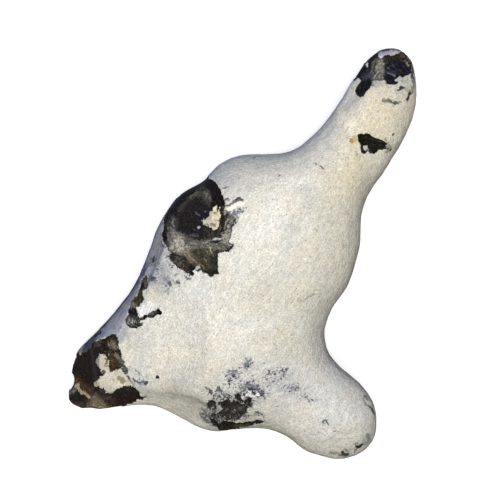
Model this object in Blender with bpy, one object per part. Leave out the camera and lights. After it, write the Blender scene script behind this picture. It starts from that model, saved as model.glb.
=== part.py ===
"""A horned flint nodule in its white chalk rind, lying on its back on a small flat spot.

The nodule is one stone. Its plan outline is swelled into a closed form whose thickness follows its
width, lumps and valleys are added, and then flakes are struck off with hollow-ground cutters.
Metres, +Z up. The origin is on the floor, under the middle of the bounding box.
"""

import math

import bmesh
import bpy
import numpy as np
from mathutils import Matrix, Vector
from mathutils.geometry import delaunay_2d_cdt

MM = 0.001

# The plan outline, in millimetres, clockwise from the horn's tip.
HORN_AND_OUTER_FLANK = (
    (76.5, 103.6), (82, 101), (86, 96), (87.5, 88), (88, 76), (85.5, 66.5), (79.7, 54.7),
    (71.7, 41.7), (64, 30.4), (60.3, 19), (60.2, 7), (57, -6), (53, -17), (47, -24.5),
)
BAY_AND_FOOT = (
    (43, -34), (42, -41), (44, -48.5), (51, -57), (61, -65), (67.5, -75.5), (69.2, -86),
    (66.8, -93.7), (60.5, -100), (49.5, -103), (39.5, -100.5), (31, -97.8), (26, -92.6),
)
BELLY_AND_BROKEN_ARM = (
    (16, -87.4), (4, -86.5), (-11, -88.3), (-21, -86.3), (-32, -80.3), (-42, -75.6),
    (-54.5, -75.4), (-68.5, -78), (-81.5, -77.8), (-87.8, -75.2), (-88, -68.7), (-86.2, -62.2),
    (-86.7, -56.2), (-83.2, -49.2), (-74.7, -41.2),
)
CREST_AND_INNER_HORN = (
    (-61.7, -27.2), (-52.6, -14.8), (-46.7, -1.8), (-42.2, 10.7), (-36.6, 22), (-29, 31.5),
    (-18.7, 36.8), (-9.7, 45.8), (1.3, 50.2), (14.3, 50.3), (25.3, 51.5), (35.4, 58.5),
    (46.9, 72), (56.5, 87.6), (63, 97.6), (69.7, 102.4),
)
OUTLINE = HORN_AND_OUTER_FLANK + BAY_AND_FOOT + BELLY_AND_BROKEN_ARM + CREST_AND_INNER_HORN

FACE_THICKNESS = 38.0  # from the rim up to the face, where the plan is as wide as WIDEST
BACK_THICKNESS = 31.0  # from the rim down to the flatter back
WIDEST = 62.0  # the swell that has those thicknesses
FULLNESS = 0.84  # under 1, narrow lobes are rounder than the belly
RIM_HEIGHT = 33.8  # the rim's height over the floor
SMOOTHING_LOSS = 0.25  # the smoothing draws the skin in by this much, so the outline starts larger
PLAN_STEP = 3.4  # spacing of the plan's points
RIM_CLEARANCE = 0.62  # the first row inside the rim is at least this many steps from it
RELIEF_FADE = 14.0  # where the swell is under this, lumps and valleys die out
FINER = 3  # cuts across each edge of the plan before it is swelled
SKIN_STEP = 2.6  # spacing of the skin's points as it is smoothed
SMOOTHING_PASSES, SMOOTHING_FACTOR = 6, 0.5
KEPT_SHARE = 0.30  # of the skin's triangles, once it is smooth

# Ridges and valleys: (from, to, spread, rise) in millimetres. A short ridge is a lump.
RIM_BENDS = (
    ((71, 76), (81, 96), 40, 5.0),  # the horn lifts off the floor
    ((-61, -54), (-85, -65), 26, -8.0),  # the broken arm droops
    ((46, -74), (59, -94), 26, -8.0),  # so does the foot
)
FACE_RELIEF = (
    ((-19, 27), (-49, -9), 9, 2.5),  # crest along the upper flank
    ((-49, -9), (-69, -41), 8, 3.5),
    ((59, 81), (55, 41), 8, 2.0),  # ridge down the horn
    ((45, 13), (45, 9), 16, 3.0),  # outer flank's swelling
    ((9, 39), (-3, 31), 12, 2.0),  # shoulder knob
    ((-43, -55), (-24, -83), 6, -5.0),  # valley between the arm and the belly
    ((29, -73), (37, -91), 9, -3.0),  # and between the belly and the foot
    ((55, -81), (59, -91), 12, 2.0),  # ball of the foot
)
BACK_RELIEF = (
    ((5, -11), (7, -17), 30, 5.0),  # the boss that the stone rests on
    ((31, 31), (45, 13), 15, 2.5),
    ((-43, -29), (-29, -9), 14, 2.0),
    ((21, -65), (35, -59), 10, -4.0),
    ((61, 67), (75, 93), 9, 2.0),
    ((-35, -61), (-39, -69), 9, -3.0),
)

# Flake scars: name, place in plan, way it faces, way it runs, the hollow's radius, how much longer
# it is along its run than across it, and the depth of its bite.
SCARS = (
    ("crest_scar", (-26, 22), (-0.50, 0.34, 0.80), (0.6, 1.0, 0.0), 42, 1.15, 5.0),
    ("lower_crest_scar", (-24, -1), (-0.42, -0.12, 0.90), (0.4, 1.0, 0.0), 48, 1.1, 3.4),
    ("flank_scar", (-55, -24), (-0.78, 0.50, 0.42), (0.6, 1.0, 0.0), 24, 2.6, 1.8),
    ("arm_break", (-81, -59), (-0.80, 0.06, 0.60), (0.0, 1.0, 0.0), 60, 1.4, 6.0),
    ("arm_face_scar", (-59, -56), (0.02, 0.10, 1.0), (0.3, 1.0, 0.0), 50, 1.3, 3.2),
    ("arm_edge_scar", (-59, -73), (0.02, -0.80, 0.60), (1.0, 0.1, 0.0), 30, 1.9, 3.0),
    ("belly_scar", (-7, -79), (-0.05, -0.62, 0.78), (1.0, 0.3, 0.0), 32, 1.4, 1.8),
    ("horn_tip_scar", (76, 91), (0.22, 0.50, 0.84), (1.0, 0.3, 0.0), 30, 1.2, 3.0),
    ("horn_side_scar", (61, 87), (-0.72, 0.42, 0.55), (0.5, 1.0, 0.0), 26, 1.8, 1.8),
    ("horn_chip", (66, 55), (0.26, -0.16, 0.94), (1.0, -0.4, 0.0), 30, 1.4, 1.3),
    ("foot_scar", (58, -97), (0.34, -0.78, 0.52), (1.0, 0.6, 0.0), 26, 1.5, 1.4),
    ("back_scar", (37, 23), (0.42, 0.10, -0.90), (0.3, 1.0, 0.0), 40, 1.2, 3.0),
)
CUTTER_SEGMENTS, CUTTER_RINGS = 32, 32
SAME_POINT = 1e-6  # millimetres
INSIDE_ONLY = 1  # the Delaunay triangulation's output type that leaves out what is past the rim
CLEAR_OF_STONE = 0.5  # metres, for a ray that starts outside the stone, and half the floor block

RIND_WHITE, RIND_ROUGHNESS = (0.80, 0.77, 0.70, 1.0), 0.85


def smooth_loop(points, step):
    """Points about a step apart on the closed Catmull-Rom curve through the given points."""
    knots = np.array(points, float)
    count = len(knots)
    found = []
    for i in range(count):
        before, start, end, after = (knots[(i + k) % count] for k in (-1, 0, 1, 2))
        pieces = max(1, round(math.dist(start, end) / step))
        for t in np.arange(pieces) / pieces:
            found.append(
                0.5 * (2 * start + (end - before) * t
                       + (2 * before - 5 * start + 4 * end - after) * t**2
                       + (3 * start - 3 * end + after - before) * t**3)
            )
    return np.array(found)


def grown(loop, margin):
    """The clockwise loop moved outwards by a margin."""
    along = np.roll(loop, -1, axis=0) - np.roll(loop, 1, axis=0)
    outward = np.column_stack([-along[:, 1], along[:, 0]])
    return loop + margin * outward / np.linalg.norm(outward, axis=1, keepdims=True)


def inside(points, loop):
    """Which points lie inside the closed loop, by counting the edges to their right."""
    ends = np.roll(loop, -1, axis=0)
    x, y = points[:, :1], points[:, 1:]
    crosses = (loop[:, 1] > y) != (ends[:, 1] > y)
    rise = np.where(ends[:, 1] == loop[:, 1], 1.0, ends[:, 1] - loop[:, 1])
    at = loop[:, 0] + (y - loop[:, 1]) * (ends[:, 0] - loop[:, 0]) / rise
    return (crosses & (x < at)).sum(axis=1) % 2 == 1


def plan_points(loop, step):
    """A triangular grid inside the loop, kept clear of it."""
    low, high = loop.min(axis=0), loop.max(axis=0)
    rows = np.arange(low[1], high[1], step * math.sqrt(3) / 2)
    grid = np.array([
        (x + (step / 2 if r % 2 else 0), y)
        for r, y in enumerate(rows) for x in np.arange(low[0], high[0], step)
    ])
    grid = grid[inside(grid, loop)]
    nearest = np.array([np.hypot(*(loop - p).T).min() for p in grid])
    return grid[nearest > RIM_CLEARANCE * step]


def swelled_plan(outline):
    """The plan as (points, triangles), with each point's height its swell squared.

    The squared swell obeys Poisson's equation and is zero on the rim, so a round plan swells
    to a ball of its own radius.
    """
    loop = grown(smooth_loop(outline, PLAN_STEP), SMOOTHING_LOSS)
    rim = len(loop)
    points = np.vstack([loop, plan_points(loop, PLAN_STEP)])
    edges = [(i, (i + 1) % rim) for i in range(rim)]
    corners = [Vector(p) for p in points]
    flat, _, triangles, *_ = delaunay_2d_cdt(corners, edges, [], INSIDE_ONLY, SAME_POINT)
    if len(flat) != len(points):
        raise ValueError("the plan's points are too close together")
    near = np.zeros((len(points), len(points)))
    for a, b, c in triangles:
        for i, j in ((a, b), (b, c), (c, a)):
            near[i, j] = near[j, i] = 1
    system = np.diag(near.sum(axis=1)) - near
    load = near.sum(axis=1) * PLAN_STEP**2
    system[:rim] = np.eye(len(points))[:rim]
    load[:rim] = 0
    squared = np.linalg.solve(system, load)
    return np.column_stack([points, squared]), triangles


def relief(x, y, features):
    """The summed height of the ridges and valleys over the plan points."""
    height = np.zeros(len(x))
    for start, end, spread, rise in features:
        a, along = np.array(start, float), np.subtract(end, start).astype(float)
        t = np.clip(((x - a[0]) * along[0] + (y - a[1]) * along[1]) / (along @ along), 0, 1)
        away = (x - a[0] - t * along[0]) ** 2 + (y - a[1] - t * along[1]) ** 2
        height += rise * np.exp(-away / (2 * spread**2))
    return height


def swelled_mesh(outline):
    """The closed form: a face and a back that meet at the rim."""
    points, triangles = swelled_plan(outline)
    sheet = bmesh.new()
    corners = [sheet.verts.new(p) for p in points]
    for triangle in triangles:
        sheet.faces.new([corners[i] for i in triangle])
    bmesh.ops.recalc_face_normals(sheet, faces=sheet.faces)
    if sum(f.normal.z for f in sheet.faces) < 0:
        bmesh.ops.reverse_faces(sheet, faces=sheet.faces)
    bmesh.ops.subdivide_edges(sheet, edges=sheet.edges, cuts=FINER, use_grid_fill=True)
    sheet.verts.ensure_lookup_table()
    x, y, squared = np.array([v.co for v in sheet.verts]).T
    at_rim = np.array([v.is_boundary for v in sheet.verts])
    swell = np.where(at_rim, 0, np.sqrt(np.maximum(squared, 0)))
    fade = 1 - np.exp(-((swell / RELIEF_FADE) ** 2))
    middle = RIM_HEIGHT + relief(x, y, RIM_BENDS)
    fullness = (swell / WIDEST) ** FULLNESS
    face = middle + FACE_THICKNESS * fullness + fade * relief(x, y, FACE_RELIEF)
    back = middle - BACK_THICKNESS * fullness - fade * relief(x, y, BACK_RELIEF)

    whole = bmesh.new()
    tops = [whole.verts.new(Vector(p) * MM) for p in zip(x, y, face)]
    bottoms = [
        top if rim else whole.verts.new(Vector(p) * MM)
        for top, rim, p in zip(tops, at_rim, zip(x, y, back))
    ]
    for polygon in sheet.faces:
        order = [v.index for v in polygon.verts]
        whole.faces.new([tops[i] for i in order])
        whole.faces.new([bottoms[i] for i in reversed(order)])
    mesh = bpy.data.meshes.new("flint_nodule")
    whole.to_mesh(mesh)
    sheet.free()
    whole.free()
    return mesh


def rind_material():
    """White, dry chalk rind."""
    material = bpy.data.materials.new("chalk_rind")
    material.use_nodes = True
    shader = material.node_tree.nodes["Principled BSDF"]
    shader.inputs["Base Color"].default_value = RIND_WHITE
    shader.inputs["Roughness"].default_value = RIND_ROUGHNESS
    return material


def hidden_cutter(mesh, name):
    cutter = bpy.data.objects.new(name, mesh)
    bpy.context.collection.objects.link(cutter)
    cutter.hide_render = True
    cutter.display_type = "WIRE"
    return cutter


def surface_point(stone, plan, facing):
    """Where the stone's skin is met over or under a plan point, on the side that facing shows."""
    side = 1 if facing[2] > 0 else -1
    start = Vector((plan[0] * MM, plan[1] * MM, side * CLEAR_OF_STONE))
    seen = stone.evaluated_get(bpy.context.evaluated_depsgraph_get())
    hit, place, _, _ = seen.ray_cast(start, Vector((0, 0, -side)))
    if not hit:
        raise ValueError(f"no stone at {plan}")
    return place


def scar_cutter(stone, name, plan, facing, run, hollow, stretch, depth):
    """An egg, longer along the scar's run, whose side bites the stone to the scar's depth."""
    outward = Vector(facing).normalized()
    across = outward.cross(Vector(run)).normalized()
    along = across.cross(outward)
    radii = (hollow * stretch * MM, hollow * MM, hollow * MM)
    form = bmesh.new()
    bmesh.ops.create_uvsphere(
        form, u_segments=CUTTER_SEGMENTS, v_segments=CUTTER_RINGS, radius=1
    )
    turn = Matrix((along, across, outward)).transposed().to_4x4()
    centre = surface_point(stone, plan, facing) + outward * (hollow - depth) * MM
    form.transform(Matrix.Translation(centre) @ turn @ Matrix.Diagonal((*radii, 1)))
    bmesh.ops.recalc_face_normals(form, faces=form.faces)
    mesh = bpy.data.meshes.new(name)
    form.to_mesh(mesh)
    form.free()
    return hidden_cutter(mesh, name)


def floor_cutter():
    """A block with its top on the floor, which wears the resting spot flat."""
    form = bmesh.new()
    bmesh.ops.create_cube(form, size=2 * CLEAR_OF_STONE)
    bmesh.ops.translate(form, verts=form.verts, vec=(0, 0, -CLEAR_OF_STONE))
    mesh = bpy.data.meshes.new("resting_flat")
    form.to_mesh(mesh)
    form.free()
    return hidden_cutter(mesh, "resting_flat")


def cut(stone, cutter):
    modifier = stone.modifiers.new(cutter.name, "BOOLEAN")
    modifier.object = cutter
    modifier.operation = "DIFFERENCE"
    modifier.solver = "EXACT"


def flint_nodule():
    stone = bpy.data.objects.new("flint_nodule", swelled_mesh(OUTLINE))
    bpy.context.collection.objects.link(stone)
    stone.data.materials.append(rind_material())
    skin = stone.modifiers.new("skin", "REMESH")
    skin.mode = "VOXEL"
    skin.voxel_size = SKIN_STEP * MM
    skin.use_smooth_shade = True
    worn = stone.modifiers.new("worn", "SMOOTH")
    worn.factor = SMOOTHING_FACTOR
    worn.iterations = SMOOTHING_PASSES
    thinned = stone.modifiers.new("thinned", "DECIMATE")
    thinned.ratio = KEPT_SHARE
    cutters = [scar_cutter(stone, *scar) for scar in SCARS]
    for cutter in [*cutters, floor_cutter()]:
        cut(stone, cutter)
    return stone


def main():
    for old in list(bpy.data.objects):
        bpy.data.objects.remove(old)
    flint_nodule()


main()
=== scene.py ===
"""The finished look of a horned flint nodule: chalk rind, struck flint, and a plain studio.

The stone is one piece. It starts as a fine skin over the solid of the frame, is struck again with
sharp hollow scars where the flint shows, and gets the rind's lumps and pores from Geometry Nodes.
Lengths in the tables are millimetres in the frame's own axes; Blender's own values are metres.
"""

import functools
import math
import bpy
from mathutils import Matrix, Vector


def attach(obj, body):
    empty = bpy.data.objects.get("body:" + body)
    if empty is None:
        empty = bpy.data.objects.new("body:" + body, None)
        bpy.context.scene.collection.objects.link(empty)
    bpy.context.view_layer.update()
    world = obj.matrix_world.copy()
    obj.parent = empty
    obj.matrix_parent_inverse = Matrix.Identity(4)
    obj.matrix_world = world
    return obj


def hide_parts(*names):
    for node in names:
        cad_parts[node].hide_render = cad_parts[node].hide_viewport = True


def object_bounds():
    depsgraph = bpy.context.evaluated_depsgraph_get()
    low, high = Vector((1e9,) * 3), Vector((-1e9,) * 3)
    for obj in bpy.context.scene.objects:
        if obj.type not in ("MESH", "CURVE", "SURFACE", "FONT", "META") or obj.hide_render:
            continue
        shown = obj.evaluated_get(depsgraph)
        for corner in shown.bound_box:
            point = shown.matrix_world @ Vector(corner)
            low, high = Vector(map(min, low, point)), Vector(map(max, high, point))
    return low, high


bl_info = {
    "name": "Flint nodule",
    "version": (1, 0, 0),
    "blender": (4, 5, 0),
    "location": "3D View > Sidebar > Flint",
    "description": "Builds a flint nodule in its chalk rind, and the studio it is seen in",
    "category": "Object",
}

import bmesh
import bpy
import numpy as np
from bpy.props import FloatProperty, FloatVectorProperty, IntProperty, PointerProperty

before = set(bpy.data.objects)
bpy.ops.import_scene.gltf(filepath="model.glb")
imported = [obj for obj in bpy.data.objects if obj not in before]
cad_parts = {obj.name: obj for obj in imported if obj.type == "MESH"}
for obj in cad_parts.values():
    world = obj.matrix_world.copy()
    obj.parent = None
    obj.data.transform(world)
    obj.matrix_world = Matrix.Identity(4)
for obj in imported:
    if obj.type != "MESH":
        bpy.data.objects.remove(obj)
CAD_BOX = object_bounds()

MM = 0.001
NODE = "flint_nodule"

# Outlines, lines and spots lie where the eye sees them from straight above, on the rim's plane.
RIM_HEIGHT = 33.8
EYE_ABOVE_RIM = 1000.0
EYE = (5.0, 2.5, RIM_HEIGHT + EYE_ABOVE_RIM)

# Where the rind is gone and the flint shows: how far it runs on under the rim, and its outline.
FLINT = {
    "crest scar": (7, (
        (-16, 40.5), (-15.5, 38.25), (-14, 37.75), (-12, 36), (-10.5, 34), (-9.5, 31.5),
        (-8.5, 29), (-7.75, 27), (-7.25, 24.5), (-8, 22.5), (-6.5, 21.75), (-5.5, 20.5),
        (-4, 19.25), (-2, 18), (-2.5, 17), (-4, 16.25), (-3, 15), (-4.25, 14), (-4, 12.5),
        (-4.75, 10.5), (-4.75, 8.5), (-5.5, 6.5), (-4.5, 5.75), (-3.5, 5), (-3.75, 3.5),
        (-5.5, 2.25), (-6, 1.5), (-7.5, 2), (-9.5, 1.25), (-10.75, 1), (-11.25, -0.5), (-11, -3.5),
        (-11.25, -6.5), (-11.25, -8), (-10.25, -9.5), (-11, -10.25), (-13, -9.25),
        (-13.75, -10.75), (-14.75, -11), (-16.5, -9.5), (-18.5, -8.5), (-19.75, -7.25),
        (-21.5, -8.25), (-22.5, -7), (-24, -8), (-23, -9.5), (-24, -10.25), (-25.5, -9),
        (-27.5, -8.75), (-29.5, -7.5), (-31, -6.75), (-32, -5), (-33.5, -3.75), (-34.75, -3),
        (-35.5, -1), (-35, 0.5), (-34, 0.5), (-35.5, 2.5), (-36.75, 3), (-36.5, 4.5),
        (-37.5, 5.75), (-38.75, 4.75), (-39.5, 5.5), (-39, 7.5), (-39.25, 9.5), (-39, 11.5),
        (-38.25, 13), (-38.25, 15), (-38.5, 17), (-38, 19), (-37, 21), (-36, 23), (-35, 25.5),
        (-34, 28.5), (-33, 31.5), (-27.5, 35.5), (-22, 37.5),
    )),
    "broken arm": (19, (
        (-63.5, -39.5), (-62, -40), (-61, -41.5), (-60.5, -43.5), (-61.25, -45), (-60.5, -46.5),
        (-59.5, -47.5), (-59.25, -49.5), (-59.5, -52), (-57.5, -53.75), (-58.75, -54.75),
        (-57, -56), (-55.75, -58), (-56.75, -58.75), (-55, -62), (-53, -64.5), (-52.25, -66.5),
        (-51, -68), (-50, -70.75), (-46.75, -71.1), (-49.5, -72.4), (-53.5, -73.75), (-56, -75.25),
        (-57.5, -78.5), (-68.5, -81.5), (-85, -80.5), (-93, -72.5), (-94, -60), (-90, -47.5),
        (-84, -44.5), (-80, -47.75), (-78, -48.5), (-77, -49), (-76, -47.25), (-74.5, -46.25),
        (-74.25, -44.5), (-73.5, -43.5), (-71.5, -42.75), (-69.5, -42.15), (-67.5, -41.75),
        (-65.5, -40.5),
    )),
    "belly scar": (2, (
        (-10.6, -73.5), (-9.75, -73.8), (-8.5, -73.3), (-7, -72.5), (-5.75, -72), (-5, -72.8),
        (-4.75, -73.7), (-4, -73.5), (-3, -72.6), (-2.15, -73.5), (-1.15, -72.8), (0.1, -74),
        (0.85, -74.8), (2, -74.3), (2.7, -75.6), (4.7, -76.15), (3.2, -77.25), (3.2, -78.75),
        (2, -79.7), (1.1, -80.2), (0, -81.7), (-1.25, -82.5), (-2.5, -83.2), (-3.5, -83.2),
        (-4.75, -82.5), (-6, -83), (-7.5, -82.3), (-9.5, -82.3), (-11, -82), (-12.2, -82.1),
        (-11, -80.75), (-11.7, -80.25), (-10.6, -78.9), (-9.2, -78.1), (-8.3, -77.2),
        (-9.2, -76.35), (-9.8, -75.1),
    )),
    "belly scar west": (0, (
        (-16.5, -74.75), (-15.4, -73.3), (-14.5, -72.5), (-13, -73), (-12, -73.65), (-12.4, -75),
        (-12, -76.85), (-13.4, -77.5), (-14, -77), (-15, -77.3), (-16.2, -76.1),
    )),
    "belly scar speck": (0, (
        (-14.1, -79.8), (-13, -79.4), (-12.2, -80.3), (-13, -81), (-13.9, -80.8),
    )),
    "belly scar north": (0, (
        (-2.5, -70.3), (-1.3, -69.4), (0.2, -69.85), (0.1, -71.15), (1, -72.65), (2.1, -73.7),
        (0.7, -74.5), (-0.7, -73.2), (-1.45, -72.1), (-2.45, -71.4),
    )),
    "belly scar east": (0, (
        (1.8, -73.5), (3.4, -72.6), (4.65, -71.5), (5.75, -71.8), (5.5, -73.35), (4.75, -74.3),
        (5, -75.35), (3.5, -75.5), (2.3, -74.9),
    )),
    "belly edge": (3, (
        (-14.75, -82.4), (-13.5, -82.3), (-12, -83.25), (-11, -84.75), (-10, -85), (-9.25, -83.3),
        (-7, -83), (-5.5, -83.5), (-4, -83.4), (-2, -84.15), (0, -84), (3, -83.55), (6, -83.35),
        (8.5, -82.65), (11, -82.75), (11.75, -83.6), (9.5, -84.75), (7.5, -84.4), (6.2, -85.25),
        (3.5, -85.9), (0, -86.35), (-2, -89.5), (-9, -89.5), (-11, -86.75), (-12.75, -85.25),
        (-14.25, -83.75),
    )),
    "horn tip east": (6, (
        (71.5, 98.75), (72.8, 100.1), (74, 100.4), (75, 99.5), (77.5, 100), (79, 100.75),
        (80.15, 101.7), (81, 102.1), (83.15, 100.25), (85, 98.2), (85.75, 95.5), (85.8, 91.2),
        (84.5, 90.5), (82.25, 89.5), (81.25, 89), (80, 89.7), (79, 89.2), (77.7, 88.1),
        (77.5, 87.3), (79, 86.6), (78.45, 85.5), (76, 85.5), (74.5, 85.5), (73.1, 86.25),
        (72.5, 87.5), (70.5, 87.75), (69.5, 90), (70, 92), (70, 94.5), (70.25, 97.5),
    )),
    "horn tip west": (6, (
        (69, 102), (69.45, 99.1), (70.5, 97.75), (71.5, 96.5), (71, 92.5), (71.5, 87.6),
        (69.5, 87.35), (67.5, 87.6), (65.7, 87.3), (65.85, 85.9), (64.75, 83.85), (63.25, 81.85),
        (61.7, 79.35), (59.5, 79.25), (58, 80.35), (57.5, 82.25), (58.3, 83.9), (59.55, 85.6),
        (60.3, 87.1), (60, 88), (59.15, 88.9), (57.2, 87.1), (56, 89.5), (61, 97.5), (65, 102),
    )),
    "horn chip": (0, (
        (59.5, 60.4), (61, 60.65), (62, 60.35), (63, 60.45), (64, 60.75), (64.95, 60.45),
        (65.85, 59.5), (66.8, 58.95), (68, 58.35), (70.3, 57.85), (71.85, 57), (72.95, 56.1),
        (73.5, 55.7), (73.2, 54.75), (73.35, 53.15), (72, 52.7), (70.5, 52.45), (68.9, 52.4),
        (68.4, 51.65), (67.3, 50.85), (66, 50.95), (64.9, 50.95), (64.5, 51.8), (63.5, 52.2),
        (63.25, 51.65), (62.8, 50.85), (61.75, 50.6), (60.9, 51.4), (60.55, 53), (60.45, 54.5),
        (60.15, 56.2), (59.5, 56.9), (59.15, 58.5), (59.15, 59.8),
    )),
    "flank wedge": (0, (
        (-46.75, -9.75), (-46.35, -11.5), (-46.7, -13.5), (-45.9, -15), (-46.75, -16.4),
        (-48, -16.7), (-48.5, -17.5), (-50, -17.75), (-50.2, -16.9), (-49.4, -15), (-49.2, -13),
        (-48.35, -11),
    )),
    "flank patch": (0, (
        (-50.5, -17.5), (-48.85, -17.5), (-48.9, -19), (-48.65, -20.5), (-47.6, -21.75),
        (-48.65, -22.85), (-49.65, -23.85), (-50.5, -24.85), (-51, -25.65), (-52.15, -25.6),
        (-52.35, -26.75), (-51.9, -28), (-51.2, -29.2), (-51.5, -30.75), (-55, -30.25),
        (-56, -28.25), (-55.5, -26.75), (-54.85, -26.25), (-55, -25.25), (-54.2, -23.6),
        (-53, -22), (-52.2, -20.6), (-51, -19.3),
    )),
    "flank scratches": (0, (
        (-56.35, -30.25), (-55, -30), (-53.5, -29.75), (-51.75, -30.25), (-50.6, -30.9),
        (-50.1, -32), (-50.2, -33.5), (-50.5, -34.2), (-48.65, -33.9), (-48.9, -35.1),
        (-50.15, -35.4), (-51.4, -36), (-53, -36.4), (-55, -36.15), (-56.1, -35.15),
        (-56.9, -33.5), (-56.9, -32),
    )),
    "flank streak": (0, (
        (-50.35, -31.3), (-48.5, -30.75), (-47.5, -30.2), (-46.25, -29.7), (-45.75, -29.25),
        (-44, -28.5), (-42.5, -27.75), (-41.35, -26.8), (-40.5, -26.6), (-40.2, -28),
        (-39.2, -28.3), (-39.05, -29.25), (-40, -29.9), (-40.75, -29.5), (-41.75, -29.75),
        (-42.75, -30.5), (-43.75, -31.25), (-45.25, -31.15), (-46.25, -30.75), (-47.25, -31.55),
        (-48.5, -32.05), (-49.85, -32.8),
    )),
}

# The scar on the back, under the rim: its outline in plan.
BACK_SCAR = (
    (24, 16), (29, 11), (37, 9.5), (45, 13), (49, 20), (48, 29), (43, 35), (35, 36.5), (28, 32),
    (24, 25),
)

# Chalk that still sticks inside the bare places: colour, outline.
REMNANTS = {
    "crest flake": ("#f1e5c6", (
        (-19.7, 17.25), (-18, 18.1), (-15.75, 18.9), (-15.1, 20.25), (-14.75, 22), (-13.5, 22.5),
        (-13.1, 23.75), (-12, 24.8), (-11.4, 24.1), (-11.8, 22.6), (-11, 22.4), (-10.8, 23.8),
        (-10.1, 24.3), (-9.7, 23), (-9.8, 20.5), (-9.9, 17.5), (-10.4, 15), (-11.3, 13),
        (-12.6, 12.2), (-13.9, 12.7), (-15.2, 13.8), (-16.75, 14.5), (-18.3, 15.8),
    )),
    "crest speck": ("#e4e4e8", (
        (-21.75, 14), (-21, 14.6), (-20, 14.5), (-19.85, 13.75), (-20.75, 13.25), (-21.5, 13.4),
    )),
    "arm upper": ("#d3cbbb", (
        (-71.5, -51.5), (-70.5, -50), (-69, -49.25), (-67.5, -50), (-66.25, -51.5), (-65.5, -53.5),
        (-65.5, -56), (-65, -59), (-66.5, -60.5), (-68.25, -60.75), (-68.25, -59.25), (-70, -58.5),
        (-69.5, -57), (-71.25, -56.25), (-72.25, -54),
    )),
    "arm lower": ("#d6cfbf", (
        (-71, -61.25), (-70, -60.5), (-68, -60.5), (-66.5, -59.5), (-65, -59), (-63, -57.75),
        (-61, -56.75), (-59.5, -56), (-58.25, -57.5), (-57.25, -59.75), (-55.5, -62), (-53, -64.5),
        (-52.5, -66.5), (-55, -65.75), (-57.5, -64.75), (-59, -66), (-61, -67), (-62.5, -68.25),
        (-64, -69.25), (-66, -69.25), (-67, -69.75), (-67.75, -69), (-67, -68), (-68, -66.75),
        (-70.5, -66.25), (-72, -65.75), (-73.25, -65), (-73.25, -63.75), (-72, -63), (-71, -62.5),
        (-70.5, -61.75),
    )),
    "arm ledge": ("#b5a281", (
        (-83.25, -65.25), (-82.25, -64.4), (-80.75, -64.5), (-80, -66), (-78.75, -67.5),
        (-76.5, -69), (-75, -70.75), (-75.25, -72.5), (-76.25, -71.5), (-78, -70.25),
        (-79.5, -69.9), (-80.75, -67.75), (-82.25, -66.75),
    )),
    "horn tip notch": ("#dcdcdc", (
        (61.75, 95.5), (62.75, 96.2), (63.5, 96.5), (64, 95.5), (63.8, 94.2), (63, 94),
        (62.2, 94.5),
    )),
}

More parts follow.
